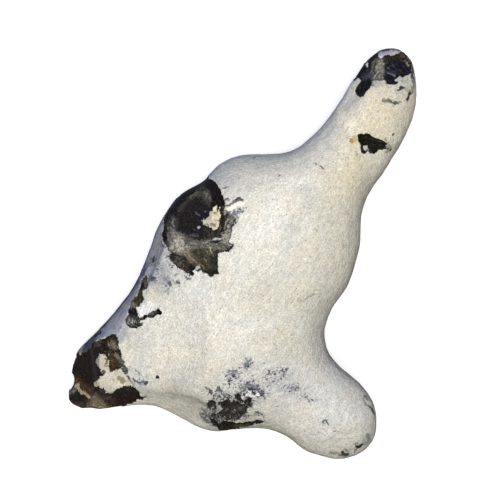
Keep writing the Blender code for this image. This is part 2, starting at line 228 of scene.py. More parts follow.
# Tones inside the flint: colour, softness of the edge in mm, outline.
FLINT_TONES = {
    "upper dish": ("#201c1e", 2, (
        (-20, 35.5), (-15, 32.5), (-14.5, 24.5), (-17.5, 17.5), (-20, 11.5), (-25, 8.5),
        (-30, 9.5), (-34, 14.5), (-34, 21.5), (-29, 29.5),
    )),
    "outer edge": ("#121118", 1.5, (
        (-19, 36), (-25, 34), (-30, 31), (-35, 25.5), (-41, 16.5), (-36, 16), (-32, 21), (-28, 26),
        (-24, 31),
    )),
    "sheen": ("#3c3a35", 1.5, (
        (-18.5, 35.5), (-16, 32.5), (-15, 29.5), (-15, 24), (-17, 25.5), (-19, 27.5), (-21, 29),
        (-23.5, 28.5), (-25.5, 27.5), (-22.5, 32.5),
    )),
    "bright sheen": ("#5c594e", 1.6, (
        (-17.75, 33), (-16, 32), (-15, 29.5), (-15, 27.25), (-16.75, 28.5), (-18, 30.5),
    )),
    "dark band": ("#14100e", 0.6, (
        (-18.25, 38), (-15.5, 40), (-13.5, 38), (-10.5, 34), (-8, 27.5), (-6.5, 24.5),
        (-8.5, 21.5), (-9.5, 24), (-10.5, 25), (-11.5, 24), (-13, 25), (-14.5, 24.25),
        (-14.7, 29.5), (-15.85, 32.5), (-18, 35.5),
    )),
    "low dish": ("#1e1918", 2, (
        (-32, 20.5), (-24, 21), (-20, 17.5), (-20, 11.5), (-28, 11), (-32, 13.5),
    )),
    "under flake": ("#2f2c29", 1.5, (
        (-18.5, 14), (-15, 12.5), (-12, 12), (-9, 13), (-8.5, 8.5), (-14, 8), (-18, 9),
    )),
    "west fringe": ("#3d3b36", 2.5, (
        (-33.5, 20.5), (-31.5, 18.5), (-32, 14.5), (-32, 8.5), (-34, 2.5), (-37, 5), (-37.5, 11.5),
        (-37, 15.5), (-35.5, 18.5),
    )),
    "west black": ("#0d0c10", 1.2, (
        (-39.5, 12), (-37, 12.5), (-36.75, 8.5), (-36, 5), (-36, 1.5), (-38, 4.5), (-40, 5),
    )),
    "dust": ("#968d7b", 5, (
        (-34, 11.5), (-30, 10.5), (-26.5, 7.5), (-24.5, 4), (-26.5, 0.5), (-30, 0.5), (-34, 2),
        (-35.5, 6),
    )),
    "dust heart": ("#d2c8b0", 4, (
        (-33, 8.5), (-30, 9), (-28, 6.5), (-29, 4), (-32, 3), (-34.5, 5),
    )),
    "dust tail": ("#6f685b", 3, (
        (-28.5, 9), (-24, 8), (-20, 6), (-22, 3), (-25, 1.5), (-27, 4.5),
    )),
    "frosted ridge": ("#5f5c52", 2.0, (
        (-26, 8), (-21, 7.5), (-17, 8), (-13, 7.5), (-8, 8), (-5, 5.5), (-7, 2), (-12, 2.5),
        (-18, 2.5), (-22, 3.5), (-25, 4.5),
    )),
    "frosted facet": ("#7d776b", 1.5, (
        (-8, 18), (-6, 17.5), (-4.5, 13.5), (-5, 5.5), (-9, 6), (-9, 10.5),
    )),
    "frosted facet foot": ("#8f897b", 1.2, (
        (-7.5, 12), (-5, 12.5), (-4.75, 7.5), (-8, 6), (-8.75, 7.5),
    )),
    "facet head": ("#77736c", 1, (
        (-8.5, 24), (-6, 23), (-4.5, 20.5), (-2, 18), (-4, 15), (-7, 16.5), (-8.5, 20.5),
    )),
    "olive facet": ("#3b392d", 1.0, (
        (-23, 2), (-18, 3), (-13, 2.5), (-10.5, 1), (-11, -8), (-14, -8), (-17, -5.5), (-20, -2),
    )),
    "olive deep": ("#2a2925", 2.0, (
        (-16, -1.5), (-11, -0.5), (-11, -8.5), (-14, -7.5),
    )),
    "tan streaks": ("#5a5144", 2, (
        (-28, 1.5), (-24.5, 2), (-21.5, -1), (-19, -4.5), (-16.5, -7.5), (-14, -11), (-17, -10),
        (-20, -7.5), (-22, -6), (-25, -4.5), (-26.5, -2.5),
    )),
    "red foot": ("#2b221b", 1.5, (
        (-23, -1), (-20.5, -3.5), (-17, -6.5), (-14, -8.5), (-13.5, -11.5), (-16.5, -10),
        (-19.5, -6.5),
    )),
    "dark facet": ("#2b2723", 1.0, (
        (-35.5, 1), (-32.5, 1), (-29.5, -1), (-26.5, -3.5), (-26, -6.5), (-28, -9), (-32, -6.5),
        (-35, -3.5),
    )),
    "dark facet foot": ("#382b1e", 1.5, (
        (-29, -5), (-26, -5.5), (-25, -8.5), (-27, -9.25), (-30, -8),
    )),
    "arm": ("#281a0f", 2, (
        (-95, -37.5), (-45, -37.5), (-45, -82.5), (-95, -82.5),
    )),
    "arm west": ("#22150a", 2, (
        (-90, -47.5), (-76, -48), (-74.5, -51.5), (-73.5, -56.5), (-73.5, -64.5), (-75, -66.5),
        (-80, -62.5), (-85, -59.5), (-90, -58.5),
    )),
    "arm glow": ("#5a4120", 3.5, (
        (-86, -59.5), (-82.5, -60.5), (-80, -64), (-80.5, -66), (-83, -65), (-85.5, -64.5),
    )),
    "arm glow east": ("#4d3819", 3.0, (
        (-80.5, -64), (-77.5, -64.5), (-74.5, -66.5), (-74, -70.5), (-76.5, -69.5), (-79, -67),
    )),
    "arm north": ("#20150d", 1.5, (
        (-73.5, -43.5), (-64, -39.5), (-60.5, -42.5), (-60.5, -47.5), (-65, -50.5), (-72, -49.5),
    )),
    "arm grey": ("#756c60", 2.5, (
        (-65.75, -44.5), (-64.5, -43.25), (-63, -43.25), (-62, -45.25), (-60.5, -46.25),
        (-63.5, -47),
    )),
    "arm grey dark": ("#3a3330", 1.5, (
        (-63.25, -41.5), (-61.25, -41.5), (-61, -44.75), (-62.25, -45),
    )),
    "arm smear": ("#453f35", 2, (
        (-73.25, -43), (-69.5, -42.75), (-69.5, -45), (-73, -46),
    )),
    "arm olive": ("#3f3018", 3, (
        (-65.25, -51), (-63, -49.5), (-61, -51.5), (-61.5, -55.5), (-64.5, -57.5), (-65.25, -54.5),
    )),
    "arm knob grey": ("#605c4f", 2, (
        (-88, -65.5), (-83.5, -65), (-82, -67), (-83, -69.5), (-85, -70), (-88, -70.5),
    )),
    "arm knob dark": ("#1d1819", 1, (
        (-83.5, -69.5), (-82, -67.5), (-80.5, -68), (-79.5, -70.5), (-77.5, -70), (-76, -71.5),
        (-76.5, -72.5), (-78, -72), (-79, -73.5), (-82, -73), (-84, -72),
    )),
    "arm sole": ("#75684f", 4, (
        (-75, -71), (-71.5, -70), (-67, -72.5), (-66, -78.5), (-74, -78.5), (-77, -76.5),
    )),
    "arm sole west": ("#3a332c", 1.5, (
        (-87, -73.5), (-78, -73.5), (-77, -78.5), (-85, -78.5),
    )),
    "arm foot": ("#22160f", 2.5, (
        (-67, -69.5), (-59, -65), (-52, -66), (-46.5, -71.5), (-55, -76.5), (-62, -76.5),
        (-65, -72.5),
    )),
    "arm foot brown": ("#38271a", 2.5, (
        (-70.5, -70.5), (-66, -70), (-62, -72.5), (-63, -76.5), (-68, -74.5),
    )),
    "arm lobe": ("#332a32", 1, (
        (-71.5, -67), (-70, -66.3), (-68, -66.7), (-67, -68.25), (-67.75, -69.75), (-71, -69.5),
    )),
    "flank blue": ("#565b5a", 1, (
        (-60.75, -51.75), (-59, -52.25), (-57.25, -53.75), (-55.5, -58), (-57.25, -58.75),
        (-59, -56), (-60.5, -54.5),
    )),
    "belly": ("#363430", 2, (
        (-17.5, -68.5), (7.5, -68.5), (7.5, -82.5), (-17.5, -82.5),
    )),
    "belly edge": ("#1e1a11", 1, (
        (-15, -82.4), (13, -81.5), (13, -90.5), (-15, -90.5),
    )),
    "belly brown": ("#3f3a20", 1.5, (
        (-3, -85.5), (0, -85), (3, -85), (3, -87), (-3, -88.5),
    )),
    "tip west": ("#15141a", 2, (
        (69, 102.5), (69, 99), (66.5, 96.5), (64.5, 93), (62, 89), (58.5, 88), (55, 87.5),
        (60, 97.5),
    )),
    "tip middle": ("#716e63", 5, (
        (69, 98.5), (72, 98), (72.5, 94.5), (72, 91.5), (71.5, 87.5), (68.5, 87.5), (66.5, 88.5),
        (66.5, 92.5), (67.5, 96),
    )),
    "tip light": ("#8b8a83", 5, (
        (69.5, 96.5), (72, 95.5), (72.5, 92.5), (70.5, 92), (69, 94),
    )),
    "tip olive": ("#46443a", 1.5, (
        (66, 96.5), (68.5, 98.25), (68.5, 95.5), (67, 91.5), (65.5, 91.5),
    )),
    "tip stripes": ("#6b675b", 1.5, (
        (65.5, 91), (68.5, 92), (71, 91.5), (71, 87.5), (66.5, 87.75),
    )),
    "tip east": ("#181722", 2.5, (
        (72.5, 97.5), (78.5, 98.5), (84, 96.5), (85, 90.5), (82, 85.5), (73, 81.5), (72, 90),
    )),
    "tip brown": ("#2b241d", 2.5, (
        (72, 99.5), (76, 99), (79, 101), (81, 102.5), (83.5, 100), (82, 97.5), (76, 98), (72, 97),
    )),
    "tip brown east": ("#433a2f", 2.0, (
        (79.5, 101), (81, 102.5), (83, 100), (81, 99),
    )),
    "tip dark": ("#100f13", 1, (
        (60, 88), (65.5, 88), (65.5, 83.5), (62, 79), (57, 79.5), (57, 84.5),
    )),
    "tip smoke": ("#37353c", 2.5, (
        (61, 90.5), (64, 92.5), (67, 92.5), (66.5, 88.5), (63, 87.5), (60.5, 87.5),
    )),
    "chip": ("#14110a", 1, (
        (58, 61.5), (75, 61.5), (75, 49.5), (58, 49.5),
    )),
    "wedge": ("#3d3a30", 1.0, (
        (-50, -9), (-46, -9), (-46.25, -14.5), (-47, -18), (-50.5, -18),
    )),
    "wedge dark": ("#12110f", 1.2, (
        (-49.1, -13.5), (-47.85, -14), (-48, -16), (-49.5, -18), (-50.5, -17.5), (-49.75, -15.5),
    )),
    "wedge east": ("#77746a", 0.8, (
        (-47.5, -13.25), (-45.75, -14.5), (-46.5, -16.75), (-47.75, -16.75),
    )),
    "patch": ("#403d33", 1.5, (
        (-57, -17), (-47, -17), (-47, -27), (-57, -27),
    )),
    "patch grey": ("#8a877c", 1.5, (
        (-55.5, -24.5), (-53.5, -23.65), (-51.75, -25), (-52.75, -26.75), (-55.25, -26.75),
    )),
    "patch foot": ("#1b1a23", 1, (
        (-56, -27.25), (-51, -26.5), (-50.75, -30), (-56, -30),
    )),
    "scratches": ("#464743", 1, (
        (-57.5, -29.75), (-50, -30.25), (-48, -33.5), (-49, -36.75), (-57.5, -36.75),
    )),
    "streak": ("#4c4d50", 1, (
        (-46, -28.5), (-41.5, -26.5), (-41.5, -30), (-44, -31.5), (-46, -31.5),
    )),
}

# Darker and bluer parts of the rind on the steep left flank and its rim, some of them painted
# shade: colour, softness of the edge in mm, outline.
RIND_PATCHES = {
    # Painted blue-grey shade on the steep left flank.
    "painted shade flank strip": ("#9193a0", 0.8, (
        (-40, 13.5), (-39.5, 9.5), (-39.75, 5), (-40.75, 1), (-43, -2), (-45.5, -4.25),
        (-46.5, -6.5), (-47.5, -9), (-48.75, -11.5), (-49.5, -14.25), (-50.75, -16.75),
        (-51.75, -19.5), (-53, -22.25), (-54.5, -24.5), (-55.5, -27.25), (-56.5, -29.5),
        (-57, -31.75), (-58.25, -34.5), (-59.75, -37.5), (-61.25, -39.5), (-66, -41),
        (-71.5, -42.25), (-74.5, -44), (-76.25, -47.5), (-81, -47.5), (-85, -45), (-65, -22.5),
        (-45, 15),
    )),
    # A dark outline along the left rim, partly painted shade.
    "painted shade strip edge": ("#55596c", 1.0, (
        (-40.75, 15.5), (-44, 8.5), (-45.75, 2.5), (-46.5, -1.5), (-46, -4.5), (-47, -7),
        (-48.25, -9.5), (-50, -12.5), (-51.75, -15.5), (-53.75, -18.5), (-56.25, -21.5),
        (-59, -25), (-61.25, -28), (-64, -31), (-66.5, -34), (-71, -38.5), (-76, -43),
        (-81, -48.5), (-85, -45), (-70, -27.5), (-45, 15),
    )),
    # A dark band along the broken arm's rim, partly painted shade.
    "arm rim painted shade": ("#3f4048", 1.2, (
        (-81.5, -50), (-79, -46.75), (-76, -43.75), (-73, -41.5), (-72.5, -44), (-74, -47),
        (-76, -49.25), (-79, -50),
    )),
    "strip top": ("#a09ea0", 2.0, (
        (-45, 20), (-38, 20), (-39, 9.5), (-39.5, 4.5), (-41, 0.5), (-45, -3.5), (-48, -3.5),
    )),
    "strip dark": ("#5b6078", 1.0, (
        (-45.5, -3.5), (-46.5, -6.25), (-47.5, -9), (-48.75, -11), (-51, -12), (-49, -5.5),
    )),
    "flank haze": ("#b3b4b6", 3.0, (
        (-57, -31.5), (-56, -36.5), (-56.5, -41.5), (-59.5, -45), (-63, -40.5), (-60.5, -38.5),
    )),
}

# Lighter and darker places on the rind, some of them stains and some painted light and shade:
# colour, centre, half width and height, turn in degrees, strength at the centre.
RIND_TONES = (
    ("#fdf9ef", (14, 12.5), (22, 15), 45, 0.9),
    ("#fbf7ea", (30, 32.5), (17, 8), 40, 0.7),
    # Painted light that lifts the shade of a valley slope.
    ("#fdfaf0", (-20, -23.5), (15, 17), 0, 0.85),
    ("#faf6ee", (-1, -38.5), (17, 8), 10, 0.5),
    ("#f6f3e8", (-40, -37.5), (17, 15), 0, 0.4),
    # Painted light that lifts the shade of a valley slope.
    ("#fdf5e0", (-27, -46.5), (15, 9), 0, 0.8),
    # Painted light on the right flank's edge.
    ("#f6f1e2", (58.5, 11.5), (3.5, 13), 0, 0.6),
    # Painted shade in the valley under the broken arm.
    ("#c9c5bb", (-32.5, -65.5), (6, 4), 0, 0.4),
    # Painted light that lifts the shade of a valley slope.
    ("#fff7e6", (-18, -31.5), (10, 8), 0, 0.6),
    ("#cbc7b6", (9, -21.5), (10, 9), 0, 0.15),
    ("#c3c6c0", (34.5, 27.5), (6, 6.5), -25, 0.5),
    ("#ccd0c8", (24, 11.5), (6, 8), -20, 0.4),
    ("#c9cbc4", (11, -15), (6, 5), 0, 0.2),
    ("#e3d5b4", (52.5, 40), (12, 20), -30, 0.5),
    ("#efdcb4", (67, 70.5), (14, 17), -20, 0.5),
    ("#c9c2ac", (76, 53.5), (4.5, 3.5), 0, 0.5),
    ("#b9bbc0", (4, -68.5), (24, 9), 10, 0.15),
    ("#f4f2ec", (20, -58.5), (13, 7), 0, 0.5),
    ("#fbf2dd", (51, 70), (3.5, 15), 35, 0.8),
    # Painted blue shade on the neck's steep right flank.
    ("#c9cfe0", (49, -53.5), (11, 20), 35, 0.5),
    # Painted blue shade on the foot's right flank.
    ("#b0b4c4", (63, -73.5), (8, 17), 10, 0.3),
    ("#dcdde2", (46, -76.5), (18, 12), -25, 0.5),
    ("#dfe1e8", (22.5, -65), (23, 8), -8, 0.5),
    ("#e4dfdc", (37.5, -86.5), (17, 8), -20, 0.45),
    ("#989b98", (63, -93), (2.5, 5.5), -35, 0.6),
    ("#a6a79e", (53, -99.5), (9, 2.5), 5, 0.55),
    ("#c3c5c8", (30, -68.5), (12, 8), 0, 0.1),
    ("#b2b4b8", (-40, -6.5), (7, 10), -30, 0.6),
    ("#a9abb3", (-40, -12.5), (6, 4.5), 0, 0.7),
    # Painted shade in the valley beside the belly.
    ("#b9b3a4", (-25, -77.5), (7, 8), -45, 0.3),
    ("#8f908a", (-13, -82.5), (4.5, 4), -20, 0.6),
    ("#c4c3bd", (-51, -41.5), (10, 8), 0, 0.4),
    ("#aeaca2", (68.5, 85.75), (4.5, 2), 0, 0.7),
    ("#c4c6ca", (-50, -65), (6, 7), 0, 0.35),
    ("#a9aaba", (74, 101.5), (6.5, 2.5), 8, 1.0),
    ("#cdc9be", (40, -95.5), (13, 5), -10, 0.4),
    ("#aaaeb2", (82, 86.5), (4.5, 4.5), 0, 0.35),
    ("#faf9f7", (-47, -27.5), (6.5, 3.5), 20, 1.0),
    ("#ece5d2", (-45, -19.5), (4, 3.5), 0, 0.7),
)

# Marks drawn on the flint, a few of them painted highlights: colour, width in mm, strength, and
# the line that each follows.
FLINT_LINES = (
    ("#c4c5c0", 1.5, 0.9, ((62.5, 53.55), (63.4, 53.85))),
    ("#8e8f88", 1.0, 0.9, ((63.4, 53.3), (64.4, 52.6))),
    ("#55564f", 0.9, 0.8, ((63, 52.4), (65.5, 51.9))),
    # Painted highlight: the ripple ridge on the crest scar, drawn lit.
    ("#66624f", 0.7, 0.9, (
        (-21.5, 32), (-24, 30.5), (-26, 28), (-28, 26), (-29.5, 24), (-31, 21.5),
    )),
    ("#454239", 1.6, 0.6, ((-25.5, 28.5), (-28, 26), (-30, 23))),
    ("#77777a", 0.35, 0.8, ((-22.5, 22), (-21.5, 20.5), (-20, 19.6))),
    ("#8f9096", 0.4, 0.8, ((-18.25, 21.35), (-17.25, 22))),
    ("#382e29", 0.7, 0.8, ((-25, 19.35), (-23.5, 19.1))),
    ("#5d5955", 0.4, 0.8, ((-28.5, 11.75), (-27, 10.5), (-24.5, 10.5), (-21.5, 10.5))),
    ("#75706a", 0.35, 0.8, ((-27.5, 9), (-25, 9.7), (-21, 9.6))),
    ("#5d5955", 0.35, 0.7, ((-24, 13), (-21.5, 12))),
    ("#1c1815", 0.9, 0.9, ((-9.35, 23.5), (-9.2, 18.5), (-9.25, 13))),
    # Painted highlight beside the dark line down the crest scar's right edge.
    ("#75654c", 0.45, 0.9, ((-10, 21.5), (-10, 17.5), (-10.2, 13))),
    ("#39332a", 1.6, 0.9, ((-6, 22), (-6.75, 20), (-7.5, 18))),
    ("#191613", 1.0, 0.9, ((-8.25, 23), (-8.5, 19), (-7.75, 16.5), (-8.75, 12.5))),
    ("#2c2823", 0.7, 0.8, ((-5.5, 16.5), (-7, 13.5), (-8.25, 10.5))),
    ("#b4b2ab", 0.5, 0.7, ((-4.5, 17), (-5.75, 14.5), (-7, 12))),
    ("#b4b2ab", 0.4, 0.6, ((-6.5, 18), (-7.25, 15.5))),
    ("#2f2d2b", 1.0, 0.85, ((-3.25, 16.75), (-3, 15.25))),
    ("#34333a", 0.8, 0.9, ((-6.75, 3.75), (-5.25, 3.6), (-3.75, 4.5))),
    ("#34333a", 0.7, 0.9, ((-5, 6), (-3.6, 5.7), (-3.6, 4.5))),
    ("#aeaeb6", 0.9, 0.8, ((-4.75, 4.85), (-4.25, 4.7))),
    ("#201e1a", 1.1, 0.9, ((-8, 2.2), (-6, 2.05))),
    ("#c9c9c6", 1.2, 0.8, ((-8, 21), (-7.25, 21.75))),
    ("#bcc0c4", 0.9, 0.85, ((-13, 7.75), (-11, 8.35), (-9.5, 7.75))),
    ("#1b1917", 0.7, 0.95, ((-14.75, 6.5), (-12.5, 6.5), (-10.25, 6.8), (-9, 7.5))),
    ("#a3a29b", 0.6, 0.7, ((-20, 5.75), (-18, 6.25), (-16.5, 6.75))),
    ("#9b9a90", 0.6, 0.6, ((-25, 6.25), (-22, 5.75))),
    ("#2c2b27", 0.6, 0.8, ((-25, 2.75), (-22.5, 2.5), (-20, 2.25))),
    ("#bdb295", 0.4, 0.9, ((-15.5, 4), (-14.5, 2), (-13.25, 0))),
    ("#968b74", 0.35, 0.8, ((-18.25, -1.5), (-16.25, -4.75))),
    ("#7d7060", 0.4, 0.8, ((-21, -3.5), (-18, -6.75))),
    ("#44362a", 0.9, 0.8, ((-22, 0), (-19, -3.5), (-16, -7.5))),
    ("#a9947a", 0.5, 0.8, ((-26.5, 1), (-24.5, -1.5), (-22, -4))),
    ("#a9947a", 0.4, 0.7, ((-28, 0), (-26, -2.5), (-24.5, -4.5))),
    ("#cfccc4", 1.0, 0.8, ((-21.75, -6.5), (-20.25, -6))),
    ("#6d6a60", 0.35, 0.7, ((-32, -1.5), (-30, -3), (-28, -5.5))),
    ("#6d6a60", 0.35, 0.7, ((-33, -3), (-31, -4.5), (-29, -7))),
    ("#a39676", 0.4, 0.6, ((-17, 2.5), (-15.5, 0.5))),
    ("#b5b8bd", 0.6, 0.9, ((-39, 7), (-38.1, 6), (-38.7, 4.75))),
    ("#9a9a94", 0.5, 0.7, ((-36.75, 13), (-36, 13.75))),
    ("#8d8b84", 0.6, 0.6, ((-36, 11), (-36.5, 8.5), (-35.75, 6))),
    ("#8d8b84", 0.5, 0.6, ((-33.25, 19), (-34, 16.5), (-33, 14))),
    ("#121114", 0.9, 0.9, ((-36.5, 4.5), (-36, 2.5), (-34.75, 0.5))),
    ("#5d5a53", 0.4, 0.7, ((-34, -3.5), (-31, -2), (-28, -1.5))),
    ("#5d5a53", 0.4, 0.7, ((-32, -5.5), (-29.5, -3.5), (-26.5, -3))),
    ("#5d5a53", 0.4, 0.6, ((-33, -0.5), (-31, -3.5), (-28.5, -7.5))),
    ("#12110f", 1.0, 0.9, ((-25, -8.5), (-23.75, -9.5))),
    ("#12110f", 0.8, 0.8, ((-34.5, 0), (-32.5, -0.5), (-30, -1))),
    ("#8d8c84", 0.5, 0.6, ((-35, 14.5), (-33.5, 12), (-34, 8.5))),
    ("#3f3633", 1.6, 0.7, (
        (-74.75, -47.5), (-74.25, -51.5), (-73.25, -56.5), (-72.85, -60.5), (-73.25, -64.5),
        (-74.5, -70.5),
    )),
    ("#57504e", 0.4, 0.7, ((-74.5, -48.5), (-74, -52.5), (-73, -57))),
    ("#524b41", 1.3, 0.8, ((-73, -45.25), (-70.5, -44.5))),
    ("#b6b2a6", 0.7, 0.8, ((-61.75, -46), (-60.75, -46))),
    ("#a59b89", 0.5, 0.9, ((-65.4, -50), (-65.05, -49.9))),
    ("#77706a", 1.2, 0.8, ((-62.25, -49.25), (-61.25, -50.5), (-60.5, -51.75))),
    ("#2a241f", 0.5, 0.7, ((-70.5, -66.4), (-68.5, -66.5), (-67.5, -68))),
    # Painted highlight: a small bluish glint on the broken arm.
    ("#7a7f86", 0.4, 0.9, ((-56.75, -67.5), (-56.1, -67.3))),
    ("#6f6549", 1.2, 0.6, ((-71.5, -73.5), (-69, -74.75), (-67.5, -75.5))),
    ("#14100d", 0.7, 0.8, (
        (-85.75, -66.5), (-86.25, -68.5), (-85, -73.5), (-83.5, -75.5), (-75, -76.75),
    )),
    ("#6d6453", 0.8, 0.7, ((-81.5, -73.5), (-79, -73.75), (-78, -74.5))),
    ("#554c40", 0.7, 0.7, ((-68.5, -72.5), (-64, -71.5))),
    ("#141013", 0.8, 0.8, ((-71.5, -67.25), (-70.5, -69))),
    # Painted glint on the horn's tip.
    ("#6b6a76", 0.8, 0.6, ((74, 94), (74.8, 93.8))),
    ("#43424c", 1.0, 0.6, ((75.75, 94.75), (77.25, 94.5))),
    ("#413f49", 0.7, 0.5, ((73, 96), (74.25, 96.3))),
    # Painted highlight: a blue-grey streak on the horn's tip.
    ("#8286a0", 0.6, 0.75, ((73.75, 91.6), (75.25, 90.7), (77.25, 90))),
    ("#45465a", 1.2, 0.5, ((73, 92.25), (75.5, 91.5), (78, 91))),
    ("#857c6b", 0.8, 0.8, ((83.5, 96), (83.9, 95))),
    ("#6f6c60", 0.8, 0.6, ((82.5, 97.5), (82.9, 97))),
    ("#6a665c", 0.7, 0.6, ((84.25, 98.25), (84.5, 97))),
    ("#6b6971", 0.5, 0.8, ((62.5, 89.5), (64.5, 91), (66, 92))),
    ("#6b6971", 0.4, 0.6, ((63, 88.25), (65.5, 90))),
    ("#b3ae9f", 0.5, 0.8, ((66.75, 88.75), (68.25, 90.5), (69, 91.75))),
    ("#b3ae9f", 0.4, 0.7, ((68.5, 88.25), (69.75, 90))),
    ("#a29d8e", 0.5, 0.7, ((67.75, 93), (68.5, 95.5), (69.75, 97.5))),
    ("#2f2c26", 0.6, 0.8, ((66.25, 90), (67.5, 91.25), (68.5, 93))),
    ("#2f2c26", 0.5, 0.8, ((67.75, 88.75), (69, 90.5))),
    ("#3a3730", 0.4, 0.6, ((68.5, 88), (70, 91.5))),
    ("#9a9ea2", 0.7, 0.9, ((-3.1, -77.8), (-2.8, -78.3))),
    ("#5c5d5c", 1.0, 0.7, ((0, -77), (2, -76.5), (1.5, -79))),
    ("#24221f", 1.2, 0.8, ((-8.5, -75), (-6.5, -74), (-5.5, -75.5))),
    ("#24221f", 1.4, 0.7, ((-7, -78.5), (-4.5, -76.5), (-2, -74.5))),
    ("#63635f", 0.8, 0.7, ((-9, -81.5), (-7, -81.25), (-5.5, -82))),
    ("#6e7072", 0.4, 0.6, ((-7.5, -77.5), (-5.5, -77))),
    ("#9a998f", 0.4, 0.7, ((-56.25, -31.25), (-54.5, -31), (-52, -31.25))),
    ("#1b1c19", 0.8, 0.95, ((-55.5, -33.15), (-54, -33.4), (-51.5, -33.65))),
    ("#1b1c19", 0.9, 0.95, ((-55, -34.8), (-53, -34.6), (-50.25, -34.75))),
    ("#1b1c19", 0.7, 0.9, ((-54.5, -35.9), (-52, -35.7))),
    ("#232420", 0.5, 0.8, ((-55.75, -32), (-53.5, -32.2), (-51, -32))),
    ("#c3c4bf", 0.6, 0.95, ((-54.25, -34), (-53, -33.95), (-50.75, -34.2))),
    ("#b0b1ad", 0.5, 0.8, ((-55.75, -32.6), (-53.5, -32.7))),
    ("#b9bab4", 0.7, 0.8, ((-56.35, -33.5), (-55.85, -34.75))),
    ("#9c9d98", 0.4, 0.8, ((-54.5, -35.3), (-52, -35.2))),
    ("#83858a", 0.6, 0.8, ((-45.25, -29.9), (-43.5, -29.3), (-42, -28.5))),
    ("#1c1d1b", 0.9, 0.9, ((-40.75, -28.5), (-39.5, -29))),
    ("#1c1d1b", 0.7, 0.8, ((-47.5, -31), (-46, -30.15))),
    ("#4a452c", 0.7, 0.7, ((-2, -85.75), (2, -85.5), (5, -84.8))),
    ("#68675f", 0.5, 0.8, ((-9.5, -74.5), (-8.5, -74))),
)
